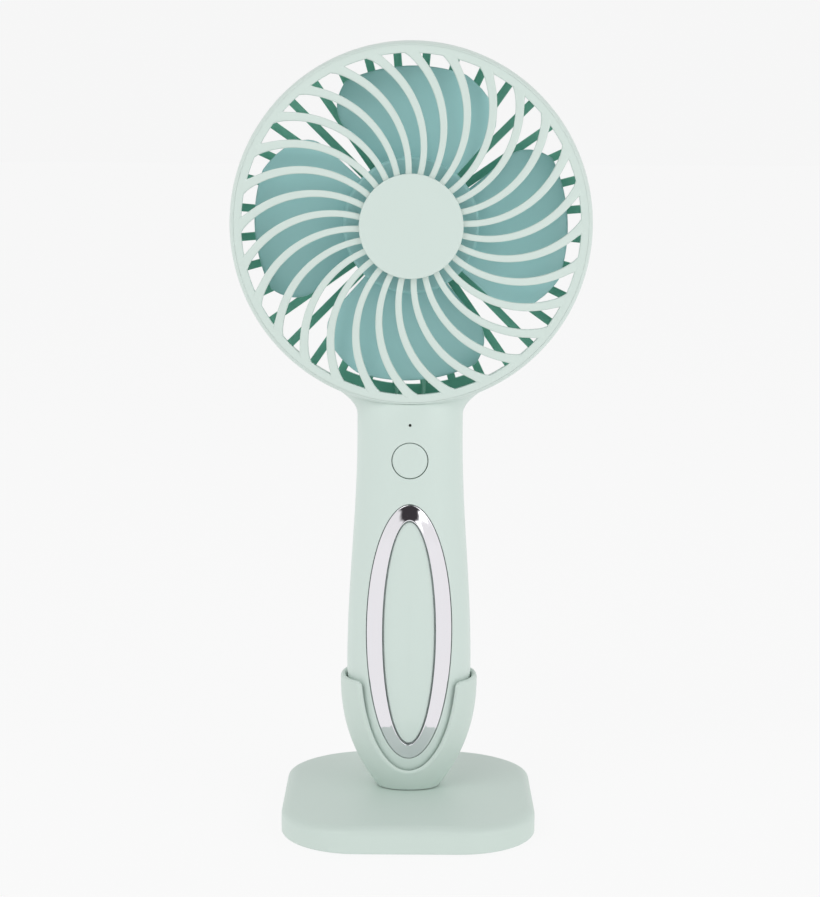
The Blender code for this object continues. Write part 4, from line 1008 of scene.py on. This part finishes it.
@dataclass
class FrontGrille:
    """The domed guard: a ring, curved ribs and the plate in the middle."""

    ribs: int = 28
    hub: float = 14.3 * MM
    open_radius: float = 46.85 * MM
    bend: float = 28.5 * MM
    start_deg: float = 3.07
    heading_deg: float = -5.0
    dome: float = 4.6 * MM
    depth: float = 1.6 * MM
    fillet: float = 0.24
    fillet_reach: float = 0.6 * MM
    width: Point = (1.72 * MM, 2.44 * MM)
    ring_gap: float = 0.03 * MM
    rib_gap: float = 0.15 * MM
    plate_gap: float = 0.3 * MM
    plate_thick: float = 1.4 * MM
    boss_inset: float = 0.9 * MM

    def bulge(self, radius: float) -> float:
        """How far the guard stands ahead of its ring at a radius."""
        share = min(max((self.open_radius - radius) / (self.open_radius - self.hub), 0.0), 1.0)
        return self.dome * math.sin(share * math.pi / 2)

    def half_width(self, radius: float) -> float:
        """Half the width of a rib at a radius."""
        share = min(max((radius - self.hub) / (self.open_radius - self.hub), 0.0), 1.0)
        return (self.width[0] + (self.width[1] - self.width[0]) * share ** 1.3) / 2

    def edge(self, x: float, z: float, heading: float, across: float) -> Point:
        """A point beside the rib's middle line, eased into the ring.

        Args:
            x: the middle line's place from the axis.
            z: its height from the axis.
            heading: the middle line's direction.
            across: the distance to the left of it.
        Returns:
            The point from the axis.
        """
        gap = self.open_radius - math.hypot(x - across * math.sin(heading), z + across * math.cos(heading))
        across *= 1 + self.fillet * math.exp(-max(gap, 0.0) / self.fillet_reach)
        point = Vector((x - across * math.sin(heading), z + across * math.cos(heading)))
        limit = BORE - self.rib_gap
        if point.length > limit:
            point *= limit / point.length
        return point.x, point.y

    def rib(self) -> bpy.types.Object:
        """One rib, a circular arc that leaves the hub nearly straight out.

        Returns:
            The closed rib.
        """
        lean = math.radians(self.start_deg)
        first = math.radians(self.heading_deg) + lean
        origin = (self.hub * math.cos(lean), self.hub * math.sin(lean))
        rows = []
        for turn in np.linspace(-0.06, 1.7, 76):
            heading = first + turn
            x = origin[0] + self.bend * (math.sin(heading) - math.sin(first))
            z = origin[1] + self.bend * (math.cos(first) - math.cos(heading))
            radius = math.hypot(x, z)
            if radius > self.open_radius + 1.5 * MM:
                break
            half = self.half_width(radius)
            sink = 0.03 * MM * min(max((radius - self.open_radius) / MM, 0.0), 1.0)
            front = FACE_Y - self.bulge(radius) + sink
            back = front + self.depth - 2 * sink
            outline = eased([(-half, front, 0.38 * MM), (half, front, 0.38 * MM),
                             (half, back, 0.35 * MM), (-half, back, 0.35 * MM)], 3)
            row = []
            for across, depth in outline:
                side_x, side_z = self.edge(x, z, heading, across)
                row.append((side_x, depth, AXIS_Z + side_z))
            rows.append(row)
        return skin("front_ribs", np.array(rows))

    def build(self) -> bpy.types.Object:
        """The whole guard on the fan.

        Returns:
            The finished piece.
        """
        ribs = repeated(self.rib(), self.ribs, MINT)
        inner = self.open_radius
        outer = BORE - self.ring_gap
        ring = turned("ring", eased([
            (inner, FACE_Y, 0.25 * MM), (outer, FACE_Y, 0.08 * MM),
            (outer, FACE_Y + self.depth, 0.0), (inner, FACE_Y + self.depth, 0.4 * MM)], 4), 256)
        front = FACE_Y - self.dome
        radius, face, back = self.hub - self.boss_inset, front + 0.05 * MM, front + self.depth
        boss = turned("boss", [(0.0, face), (radius, face), (radius, back), (0.0, back)], 96, ring=False)
        piece = joined("front_grille_fine", [ribs, dress(ring, MINT), dress(boss, MINT)])
        piece.data.shade_smooth()
        piece.data.set_sharp_from_angle(angle=math.radians(50))
        return settle(piece, "fan", "shell_plastic", "front_grille")

    def plate(self) -> bpy.types.Object:
        """The round plate on the guard's middle, very slightly crowned.

        Returns:
            The finished piece.
        """
        seat = FACE_Y - self.dome - 0.06 * MM
        face = FACE_Y - self.dome - self.plate_gap - self.plate_thick
        outline = [(0.0, face)]
        outline += [(self.hub * share, face + 0.12 * MM * share ** 2) for share in (0.25, 0.5, 0.75, 0.9)]
        outline += arc((self.hub - 0.35 * MM, face + 0.5 * MM), (0.35 * MM, 0.38 * MM), -90, 0, 6)
        outline += [(self.hub, seat), (0.0, seat)]
        plate = dress(turned("hub_plate_fine", outline, 160, ring=False), MINT)
        return settle(plate, "fan", "shell_plastic", "hub_plate")


# ---------------------------------------------------------------- impeller

@dataclass
class Impeller:
    """Hub cup and four broad blades in teal plastic."""

    blades: int = 4
    tip: float = 43.8 * MM
    hub: float = 18.9 * MM
    wall: float = 1.4 * MM
    front: float = -8.6 * MM
    back: float = 5.5 * MM
    blade_front: float = -5.6 * MM
    blade_back: float = 4.6 * MM
    thickness: float = 1.36 * MM
    plain: float = 30.0 * MM
    lead_deg: float = 48.0
    span_deg: float = 77.5
    root_curve: float = 3.5
    root_end: float = 34.0 * MM
    root_reach: float = 14.0 * MM
    edge_share: float = 0.012
    tip_share: float = 0.985
    hub_round: float = 1.0 * MM
    boss: Point = (3.0 * MM, -5.1 * MM)
    lead_curve: float = 22.0
    trail_curve: float = 10.5

    def point(self, radius: float, chord: float, side: float) -> Place:
        """A point of the first blade; chord is 0 to 1 across it and side is -1 on the front face.

        Args:
            radius: its distance from the axis.
            chord: its share of the way across the blade.
            side: -1 on the front face and 1 on the back.
        Returns:
            The point.
        """
        share = max(0.0, (radius - self.plain) / (self.tip - self.plain))
        low = self.lead_deg + self.lead_curve * share ** 3
        root = max(0.0, (self.root_end - radius) / self.root_reach)
        high = self.lead_deg + self.span_deg - self.trail_curve * share ** 3 - self.root_curve * root
        turn = math.radians(low + (high - low) * chord)
        depth = self.blade_front + (self.blade_back - self.blade_front) * chord ** 1.1
        depth += side * self.thickness / 2
        return radius * math.cos(turn), depth, AXIS_Z + radius * math.sin(turn)

    def blade(self) -> bpy.types.Object:
        """One blade with a rounded edge.

        Returns:
            The closed blade.
        """
        inner = self.hub - self.wall * 0.6
        rows = []
        chords = [0.0, 0.004, 0.012, *np.linspace(0.03, 0.97, 34), 0.988, 0.996, 1.0]
        for share in [*np.linspace(0, 0.93, 20), 0.965, 0.985, 0.995, 1.0]:
            radius = inner + (self.tip - inner) * share
            past = max((share - self.tip_share) / (1 - self.tip_share), 0.0)
            tip_thin = max(math.sqrt(max(1 - past ** 2, 0.0)), 0.35)
            row = []
            for side, order in ((-1, chords), (1, list(reversed(chords)))):
                for chord in order:
                    edge = min(chord, 1 - chord) / self.edge_share
                    thin = 0.3 + 0.7 * math.sqrt(1 - (1 - min(edge, 1.0)) ** 2)
                    row.append(self.point(radius, chord, side * thin * tip_thin))
            rows.append(row)
        return skin("blades", np.array(rows))

    def build(self) -> bpy.types.Object:
        """The whole impeller on its own body.

        Returns:
            The finished piece.
        """
        blades = repeated(self.blade(), self.blades, TEAL)
        inner = self.hub - self.wall
        under, rounding = self.front + self.wall, self.hub_round
        boss_radius, boss_end = self.boss
        outline = [(0.0, self.front), (self.hub - 2.4 * MM, self.front)]
        outline += arc((self.hub - rounding, self.front + rounding), (rounding, rounding), -90, 0, 8)
        outline += [(self.hub, self.back), (inner, self.back), (inner, under), (boss_radius, under),
                    (boss_radius, boss_end), (0.0, boss_end)]
        hub = dress(turned("hub", outline, 144, ring=False), TEAL)
        piece = joined("impeller_fine", [hub, blades])
        piece.data.shade_smooth()
        piece.data.set_sharp_from_angle(angle=math.radians(42))
        return settle(piece, "impeller", "impeller_plastic", "impeller")


# ---------------------------------------------------------------- front trims

@dataclass
class FrontTrims:
    """The plated oval band, the grip inside it, the power button and the light."""

    seam: float = 0.26 * MM
    proud: float = 0.5 * MM
    sunk: float = 1.1 * MM

    def band(self) -> bpy.types.Object:
        """The bright band, a low rounded step above the shell.

        Returns:
            The finished piece.
        """
        low, high = self.proud * 0.2, self.proud * 1.5
        outline = [(self.seam, -self.sunk), (self.seam, low * 0.3)]
        outline += arc((self.seam + 0.3 * MM, low * 0.3), (0.3 * MM, low * 0.7 + 0.05 * MM), 180, 90, 6)[1:]
        outline += [(OVAL.band * share, low + (high - low) * share ** 0.9)
                    for share in (0.25, 0.45, 0.65, 0.85)]
        outline += arc((OVAL.band - self.seam - 0.2 * MM, high - 0.2 * MM), (0.2 * MM, 0.2 * MM), 80, 0, 4)
        outline += [(OVAL.band - self.seam, -self.sunk)]
        band = dress(OVAL.follow("trim_ring_fine", outline), CHROME, 50)
        return settle(band, "fan", "bright_trim", "trim_ring")

    def grip(self) -> bpy.types.Object:
        """The grip panel, flush with the shell and slightly crowned at its edge.

        Returns:
            The finished piece.
        """
        edge = OVAL.band + 0.2 * MM
        outline = [(edge, -1.0 * MM), (edge, -0.2 * MM), (edge + 0.12 * MM, -0.05 * MM),
                   (edge + 0.4 * MM, 0.0)]
        reach = OVAL.half_width - edge
        outline += [(edge + reach * share, 0.0) for share in (0.15, 0.3, 0.45, 0.6, 0.75, 0.88, 0.97)]
        panel = dress(OVAL.disc("grip_panel_fine", outline), MINT, 40)
        return settle(panel, "fan", "shell_plastic", "grip_panel")

    def round_piece(self, name: str, radius: float, z: float, outline: Sequence[Point],
                    count: int) -> bpy.types.Object:
        """A round plug whose face follows the handle's front.

        Args:
            name: the object's name.
            radius: the plug's radius.
            z: its centre's height.
            outline: its section as (inset from the rim, height over the surface).
            count: segments round it.
        Returns:
            The closed plug.
        """
        rows = []
        for inset, height in outline:
            row = []
            for turn in np.linspace(0, math.tau, count, endpoint=False):
                x = (radius - inset) * math.cos(turn)
                up = z + (radius - inset) * math.sin(turn)
                row.append((x, HANDLE.surface(x, up) - height, up))
            rows.append(row)
        return skin(name, np.array(rows))

    def button(self) -> bpy.types.Object:
        """The power button, which moves in its own guide.

        Returns:
            The finished piece.
        """
        radius = BUTTON_RADIUS
        outline = [(radius * 0.98, -3.8 * MM), (radius * 0.5, -3.8 * MM), (0.0, -3.8 * MM), (0.0, -0.3 * MM),
                   (0.05 * MM, -0.12 * MM), (0.18 * MM, -0.02 * MM), (0.42 * MM, 0.05 * MM)]
        outline += [(radius * share, 0.08 * MM) for share in (0.25, 0.45, 0.65, 0.85, 0.98)]
        button = dress(self.round_piece("power_button_fine", radius, BUTTON_Z, outline, 96), MINT, 40)
        return settle(button, "button", "shell_plastic", "power_button")

    def light(self) -> bpy.types.Object:
        """The end of the light pipe in its pinhole.

        Returns:
            The finished piece.
        """
        radius = 0.35 * MM
        outline = [(radius * 0.9, -2.6 * MM), (0.0, -2.6 * MM), (0.0, -0.25 * MM), (0.08 * MM, -0.15 * MM),
                   (radius * 0.9, -0.12 * MM)]
        light = dress(self.round_piece("light_pipe_fine", radius, LIGHT_Z, outline, 32), LIGHT_PIPE, 40)
        return settle(light, "fan", "light_clear", "light_pipe")


# ---------------------------------------------------------------- stand

@dataclass
class Stand:
    """The pillow-shaped base and the cup that rises from it."""

    width: float = 71.8 * MM
    depth: float = 76.0 * MM
    corner: float = 21.8 * MM
    side_top: float = 5.8 * MM
    side_bottom: float = 0.7 * MM
    crown: float = 9.3 * MM
    crown_rise: float = 0.75 * MM
    top_wall: float = 3.0 * MM
    edge: float = 3.2 * MM
    wall: float = 1.65 * MM
    base_wall: float = 2.0 * MM
    floor: float = 2.0 * MM
    mouth: Point = (14.3 * MM, 32.0 * MM)
    mouth_z: float = 48.0 * MM
    rim_round: float = 0.95 * MM
    corner_drop: float = 2.2 * MM
    tip_round: float = 1.8 * MM

    def square(self, inset: float, z: float, steps: int = 18) -> np.ndarray:
        """One level outline of the base, a square with round corners.

        Args:
            inset: how far it is drawn in.
            z: its height.
            steps: segments in each corner.
        Returns:
            The points as rows of x, y and z.
        """
        half = (self.width / 2 - inset, self.depth / 2 - inset)
        corner = max(self.corner - inset, 0.3 * MM)
        if min(half) < corner:
            corner = min(half)
        points = []
        for quarter, (side_x, side_y) in enumerate(((1, 1), (-1, 1), (-1, -1), (1, -1))):
            for step in range(steps + 1):
                turn = math.radians(90 * (quarter + step / steps))
                points.append((side_x * (half[0] - corner) + corner * math.cos(turn),
                               side_y * (half[1] - corner) + corner * math.sin(turn), z))
        return np.array(points)

    def base(self) -> bpy.types.Object:
        """The base moulding: straight side, soft edge and a low crown; open below.

        Returns:
            The finished piece.
        """
        shoulder = self.crown - self.crown_rise
        rows = [self.square(self.base_wall, self.crown - self.top_wall),
                self.square(self.base_wall, self.side_bottom),
                self.square(0.3 * MM, self.side_bottom),
                self.square(0.0, self.side_bottom + 0.35 * MM)]
        for x, z in arc((0.0, 0.0), (1.0, 1.0), 0, 84, 12):
            rows.append(self.square(self.edge * (1 - x), self.side_top + (shoulder - self.side_top) * z))
        for inset in (3.2, 4.2, 5.5, 7.5, 10.0, 13.0, 17.0, 22.0, 27.0, 31.0, 34.5):
            rise = 1 - (1 - min((inset - 2.6) / 33, 1.0)) ** 2.0
            rows.append(self.square(inset * MM, shoulder + (self.crown - shoulder) * rise))
        for row in rows[4:]:    # the drop at the corners leaves the four rows below the side alone
            lift = (row[:, 2] - self.side_top) / (self.crown - self.side_top)
            reach = (np.abs(row[:, 0]) / self.width * 2) * (np.abs(row[:, 1]) / self.depth * 2)
            row[:, 2] -= self.corner_drop * reach ** 2 * np.clip(lift, 0, 1)
        cover = dress(skin("base_cover_fine", np.array(rows)), MINT_STAND, 30)
        return settle(cover, "stand", "stand_plastic", "base_cover")

    def turn_at(self, x: float, z: float) -> float:
        """Angle of the point of the cup's front outline that is at x in the front view."""
        share = min(abs(x) / HANDLE.cup(z)[0], 1.0) ** (HANDLE.power / 2)
        return -math.acos(math.copysign(share, x))

    def edge_path(self) -> np.ndarray:
        """The U's edge from right to left as rows of x, z and the direction into the wall.

        Returns:
            One row for each point.
        """
        rim, (half, drop) = HANDLE.rim_z, self.mouth
        first = math.asin((self.mouth_z - rim + self.tip_round) / drop)
        end = np.array([half * math.cos(first), rim - self.tip_round])
        corner = np.array([end[0] + 0.1 * MM, rim])
        start = np.array([corner[0] + self.tip_round, rim])
        points = [start * (1 - t) ** 2 + corner * 2 * t * (1 - t) + end * t ** 2
                  for t in np.linspace(0, 1, 16)]
        for a in np.linspace(first, math.pi / 2, 90)[1:]:
            points.append(np.array([half * max(math.cos(a), 0.0), self.mouth_z - drop * math.sin(a)]))
        points += [point * (-1, 1) for point in reversed(points[:-1])]
        path = np.array(points)
        along = np.gradient(path, axis=0)
        along /= np.linalg.norm(along, axis=1)[:, None]
        return np.hstack([path, -along[:, 1:], along[:, :1]])

    def cup_point(self, turn: float, z: float, inset: float) -> Place:
        """A point on the cup's wall.

        Args:
            turn: its angle round the cup.
            z: its height.
            inset: how far inside the outer face.
        Returns:
            The point.
        """
        width, depth = HANDLE.cup(z, inset)
        power = 2 / HANDLE.power
        x = width * math.copysign(abs(math.cos(turn)) ** power, math.cos(turn))
        y = depth * math.copysign(abs(math.sin(turn)) ** power, math.sin(turn))
        return x, y, z

    def column(self, turns: Sequence[float], heights: Sequence[float]) -> list[Place]:
        """One upright strip of the cup: outside, over the rounded edge and down inside.

        Args:
            turns: angles of the points over the edge, from outside to inside.
            heights: their heights.
        Returns:
            The strip's points.
        """
        foot = HANDLE.foot_z + 0.3 * MM
        row = [self.cup_point(turns[0], foot + (heights[0] - foot) * share, 0.0)
               for share in np.linspace(0, 1, 40)[:-1]]
        over = np.linspace(math.pi, 0, len(turns))
        for turn, height, angle in zip(turns, heights, over):
            row.append(self.cup_point(turn, height, self.wall * (0.5 + 0.5 * math.cos(angle))))
        inner = foot + self.floor
        row += [self.cup_point(turns[-1], heights[-1] + (inner - heights[-1]) * share, self.wall)
                for share in np.linspace(0, 1, 24)[1:]]
        return row

    def cup(self) -> bpy.types.Object:
        """The cradle's cup with its U-shaped opening and rounded rim.

        Returns:
            The finished piece.
        """
        over = np.linspace(math.pi, 0, 13)
        dips = self.rim_round * (1 - np.sin(over))
        path = self.edge_path()
        rows = []
        for x, z, into_x, into_z in path:
            heights = [z + dip * into_z for dip in dips]
            turns = [self.turn_at(x + dip * into_x, height) for dip, height in zip(dips, heights)]
            rows.append(self.column(turns, heights))
        first, last = (self.turn_at(path[end][0], HANDLE.rim_z) for end in (0, -1))
        for turn in np.linspace(last, first - math.tau, 220)[1:-1]:
            rows.append(self.column([float(turn)] * len(dips), [HANDLE.rim_z - dip for dip in dips]))
        grid = np.array(rows).transpose(1, 0, 2)
        cup = dress(skin("cradle_fine", grid), MINT_STAND, 34)
        return settle(cup, "stand", "stand_plastic", "cradle")


# ---------------------------------------------------------------- screws

@dataclass
class Fasteners:
    """Pan-head screws with a cross recess, placed on every screw of a kind."""

    radius: float = 1.9 * MM
    height: float = 1.1 * MM
    shank: float = 1.0 * MM
    segments: int = 40

    def screw(self, towards: Vector, length: float) -> bpy.types.Object:
        """One screw about the origin with its head towards a direction.

        Args:
            towards: the way the head faces.
            length: the shank's length.
        Returns:
            The finished screw.
        """
        flat = self.radius * 0.55
        outline = [(0.0, self.height), (flat, self.height)]
        outline += arc((flat, self.height * 0.45), (self.radius - flat, self.height * 0.55), 90, 0, 7)
        outline += [(self.radius, 0.0), (self.shank, 0.0), (self.shank, self.shank - length), (0.0, -length)]
        turns = np.linspace(0, math.tau, self.segments, endpoint=False)
        profile = np.array(outline)
        grid = np.zeros((len(profile), self.segments, 3))
        grid[:, :, 0] = profile[:, :1] * np.cos(turns)
        grid[:, :, 1] = profile[:, :1] * np.sin(turns)
        grid[:, :, 2] = profile[:, 1:]
        made = skin("screw", grid)
        reach, half = self.radius * 0.56, self.radius * 0.13
        low, high = self.height * 0.35, self.height * 2
        arms = [block("arm", (-reach, -half, low), (reach, half, high)),
                block("arm", (-half, -reach, low), (half, reach, high))]
        combine(made, arms, "DIFFERENCE")
        made.data.transform(towards.to_track_quat("Z", "Y").to_matrix().to_4x4())
        return dress(made, SCREW, 30)

    def scatter(self, name: str, nodes: Sequence[str], towards: Vector, body: str) -> bpy.types.Object:
        """Put one fine screw in place of each of several CAD screws.

        Args:
            name: the piece's name.
            nodes: the screws that it stands for.
            towards: the way the heads face.
            body: the body that carries them.
        Returns:
            The piece.
        """
        axis = max(range(3), key=lambda index: abs(towards[index]))
        points = []
        for node in nodes:
            low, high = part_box(node)
            place = (low + high) / 2
            head = high[axis] if towards[axis] > 0 else low[axis]
            place[axis] = head - towards[axis] * self.height
            points.append(place)
        low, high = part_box(nodes[0])
        single = self.screw(towards, high[axis] - low[axis] - self.height)
        mesh = bpy.data.meshes.new(name)
        mesh.from_pydata(points, [], [])
        piece = mesh_object(name, mesh)
        tree = bpy.data.node_groups.get("scatter_on_points") or scatter_tree("scatter_on_points")
        apply_tree(piece, tree, Piece=single, Finish=SCREW.made())
        bpy.data.objects.remove(single, do_unlink=True)
        piece.data.set_sharp_from_angle(angle=math.radians(30))
        return settle(piece, body, "screw_steel", *nodes)

    def build(self) -> list[bpy.types.Object]:
        """All screws that can be seen from outside.

        Returns:
            One piece for each kind.
        """
        shell = [f"shell_screw_{index}" for index in range(1, 4)]
        base = [f"base_screw_{index}" for index in range(1, 5)]
        return [self.scatter("shell_screws_fine", shell, Vector((0, 1, 0)), "fan"),
                self.scatter("base_screws_fine", base, Vector((0, 0, -1)), "stand")]


# ---------------------------------------------------------------- underside

@dataclass
class Underside:
    """The bottom plate and the feet, seen when the stand is turned over."""

    inset: float = 2.3 * MM
    edge: float = 0.4 * MM
    seat_radius: float = 2.2 * MM
    seat_depth: float = 0.8 * MM
    foot_edge: float = 0.35 * MM
    segments: int = 64

    def plate(self, stand: Stand) -> bpy.types.Object:
        """The bottom plate with a softened lower edge and recessed screw seats.

        Args:
            stand: the stand, which gives the outline.
        Returns:
            The finished piece.
        """
        low, high = (corner.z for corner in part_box("base_plate"))
        rows = [stand.square(self.inset, high), stand.square(self.inset, low + self.edge),
                stand.square(self.inset + self.edge * 0.3, low + self.edge * 0.3),
                stand.square(self.inset + self.edge, low)]
        plate = skin("base_plate_fine", np.array(rows))
        seats = []
        for index in range(1, 5):
            first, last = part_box(f"base_screw_{index}")
            centre = (first + last) / 2
            seats.append(self.disc(centre, self.seat_radius, low - 1 * MM, low + self.seat_depth, 0.0))
        combine(plate, seats, "DIFFERENCE")
        dress(plate, PLATE)
        return settle(plate, "stand", "base_plate_plastic", "base_plate")

    def disc(self, centre: Vector, radius: float, low: float, high: float, edge: float) -> bpy.types.Object:
        """An upright disc with a rounded lower rim.

        Args:
            centre: its middle, of which the height is not used.
            radius: its radius.
            low: the height of its lower face.
            high: the height of its upper face.
            edge: the rounding of its lower rim.
        Returns:
            The closed disc.
        """
        outline = [(radius, high), (radius, low + edge)]
        outline += arc((radius - edge, low + edge), (edge, -edge), 0, 90, 5)[1:] if edge else [(radius, low)]
        turns = np.linspace(0, math.tau, self.segments, endpoint=False)
        rows = [np.stack([centre.x + reach * np.cos(turns), centre.y + reach * np.sin(turns),
                          np.full(self.segments, z)], axis=1) for reach, z in outline]
        return skin("disc", np.array(rows))

    def feet(self) -> bpy.types.Object:
        """The four rubber pads.

        Returns:
            The finished piece.
        """
        nodes = [f"foot_pad_{index}" for index in range(1, 5)]
        pads = []
        for node in nodes:
            low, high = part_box(node)
            pads.append(self.disc((low + high) / 2, (high.x - low.x) / 2, low.z, high.z,
                                  self.foot_edge))
        piece = dress(joined("foot_pads_fine", pads), RUBBER)
        return settle(piece, "stand", "foot_rubber", *nodes)


# ---------------------------------------------------------------- what is kept from the model

FINISHES = {
    "stand_plastic": MINT_STAND, "shell_plastic": MINT, "base_plate_plastic": PLATE,
    "impeller_plastic": TEAL, "bright_trim": CHROME, "foot_rubber": RUBBER, "screw_steel": SCREW,
    "weight_iron": IRON, "cell_wrap": SLEEVE, "tab_nickel": NICKEL, "lead_red": LEAD_RED,
    "lead_black": LEAD_BLACK, "lead_pale": LEAD_PALE, "board_laminate": LAMINATE, "bright_steel": STEEL,
    "bush_brass": BRONZE, "magnet_ferrite": FERRITE, "brush_carbon": CARBON, "cap_plastic": NYLON,
    "winding_copper": COPPER, "light_clear": LIGHT_PIPE,
}


def finish_kept() -> None:
    """Give the model's own parts that no fine piece stands for their finishes."""
    for part in frame["record"]["subparts"]:
        node = part["node"]
        obj = frame["nodes"][node]
        if obj.hide_render:
            continue
        finish = FINISHES[part["material_slot"]]
        dress(obj, finish, 40)
        log.info("%s keeps its shape, finish %s", node, finish.name)


# ---------------------------------------------------------------- studio

@dataclass
class Studio:
    """A pale floor, an even bright surround, two soft lights and the camera."""

    floor_tone: float = 0.882
    floor_shade: float = 0.08
    floor_reach: float = 30.0
    world_tone: Colour = (0.924, 0.924, 0.924)
    dark_tone: Colour = (0.05, 0.045, 0.05)
    overhead: Point = (0.62, 0.97)
    overhead_share: float = 0.7
    strip_edge: Point = (0.27, 0.42)
    behind_edge: Point = (0.2, -0.2)
    aim: Place = (0.0, 0.0, 0.12)
    lamp_size: float = 1.2
    eye: Place = (0.0, -0.585, 0.1916)
    tilt_deg: float = 81.84
    roll_deg: float = 0.3
    lens: float = 83.3

    def floor(self) -> bpy.types.Object:
        """A wide level floor that shades off into the surround.

        Returns:
            The floor.
        """
        far = self.floor_reach
        mesh = bpy.data.meshes.new("floor")
        mesh.from_pydata([(-far, -far, 0), (far, -far, 0), (far, far, 0), (-far, far, 0)], [], [(0, 1, 2, 3)])
        floor = mesh_object("floor", mesh)
        material = bpy.data.materials.new("floor_paper")
        material.use_nodes = True
        graph = Graph(material.node_tree)
        shader = graph.node("ShaderNodeBsdfPrincipled", None, Roughness=1.0,
                            Base_Color=(*[self.floor_shade] * 3, 1.0))
        shader.inputs["Specular IOR Level"].default_value = 0.0
        shader.inputs["Emission Color"].default_value = (1.0, 1.0, 1.0, 1.0)
        shader.inputs["Emission Strength"].default_value = self.floor_tone
        graph.node("ShaderNodeOutputMaterial", None, Surface=shader.outputs[0])
        mesh.materials.append(material)
        return floor

    def surround(self) -> None:
        """An even bright world, dark overhead and in a strip that only reflections show."""
        world = bpy.data.worlds.new("surround")
        bpy.context.scene.world = world
        world.use_nodes = True
        graph = Graph(world.node_tree)
        place = graph.node("ShaderNodeTexCoord")
        split = graph.node("ShaderNodeSeparateXYZ", None, Vector=place.outputs["Generated"])
        across = graph.out(split, "X").math("ABSOLUTE")
        behind = graph.out(split, "Y").step(*self.behind_edge)
        unseen = 1 - graph.out(graph.node("ShaderNodeLightPath"), "Is Camera Ray")
        strip = (1 - across.step(*self.strip_edge)) * behind * unseen
        above = graph.out(split, "Z").step(*self.overhead) * self.overhead_share
        dark = above.math("MAXIMUM", strip)
        blend = graph.node("ShaderNodeMix", {"data_type": "RGBA"}, Factor=dark)
        blend.inputs[6].default_value = (*self.world_tone, 1.0)
        blend.inputs[7].default_value = (*self.dark_tone, 1.0)
        back = graph.node("ShaderNodeBackground", None, Color=blend.outputs[2], Strength=1.0)
        graph.node("ShaderNodeOutputWorld", None, Surface=back.outputs[0])

    def light(self, name: str, place: Place, power: float) -> bpy.types.Object:
        """A soft square light aimed at the fan.

        Args:
            name: the object's name.
            place: where it hangs.
            power: its power in watts.
        Returns:
            The light.
        """
        lamp = bpy.data.lights.new(name, "AREA")
        lamp.shape = "SQUARE"
        lamp.size = self.lamp_size
        lamp.energy = power
        made = bpy.data.objects.new(name, lamp)
        made.location = place
        aim = Vector(self.aim) - Vector(place)
        made.rotation_euler = aim.to_track_quat("-Z", "Y").to_euler()
        bpy.context.scene.collection.objects.link(made)
        return made

    def camera(self) -> bpy.types.Object:
        """The camera in front of the fan, slightly above its middle.

        Returns:
            The camera.
        """
        data = bpy.data.cameras.new("camera")
        data.lens = self.lens
        data.clip_start = 0.01
        made = bpy.data.objects.new("camera", data)
        made.location = self.eye
        made.rotation_euler = (math.radians(self.tilt_deg), 0.0, 0.0)
        made.rotation_euler.rotate_axis("Z", math.radians(self.roll_deg))
        bpy.context.scene.collection.objects.link(made)
        bpy.context.scene.camera = made
        return made

    def build(self) -> None:
        """Set the whole studio up."""
        self.floor()
        self.surround()
        self.light("key", (-0.7, -1.2, 1.3), 9.5)
        self.light("fill", (0.9, -1.0, 0.7), 5.0)
        self.camera()
        bpy.context.scene.view_settings.view_transform = "Standard"


def main() -> None:
    """Build every piece in order, finish the kept parts and set up the studio."""
    shells = HandleShells()
    grille = FrontGrille()
    trims = FrontTrims()
    stand = Stand()
    underside = Underside()
    pieces = [shells.front(), shells.rear(), grille.build(), grille.plate(), Impeller().build(),
              trims.band(), trims.grip(), trims.button(), trims.light(), stand.base(), stand.cup(),
              underside.plate(stand), underside.feet(), *Fasteners().build()]
    log.info("%d fine pieces", len(pieces))
    finish_kept()
    Studio().build()


if __name__ == "__main__":
    logging.basicConfig(level=logging.INFO, format="%(message)s")
    main()
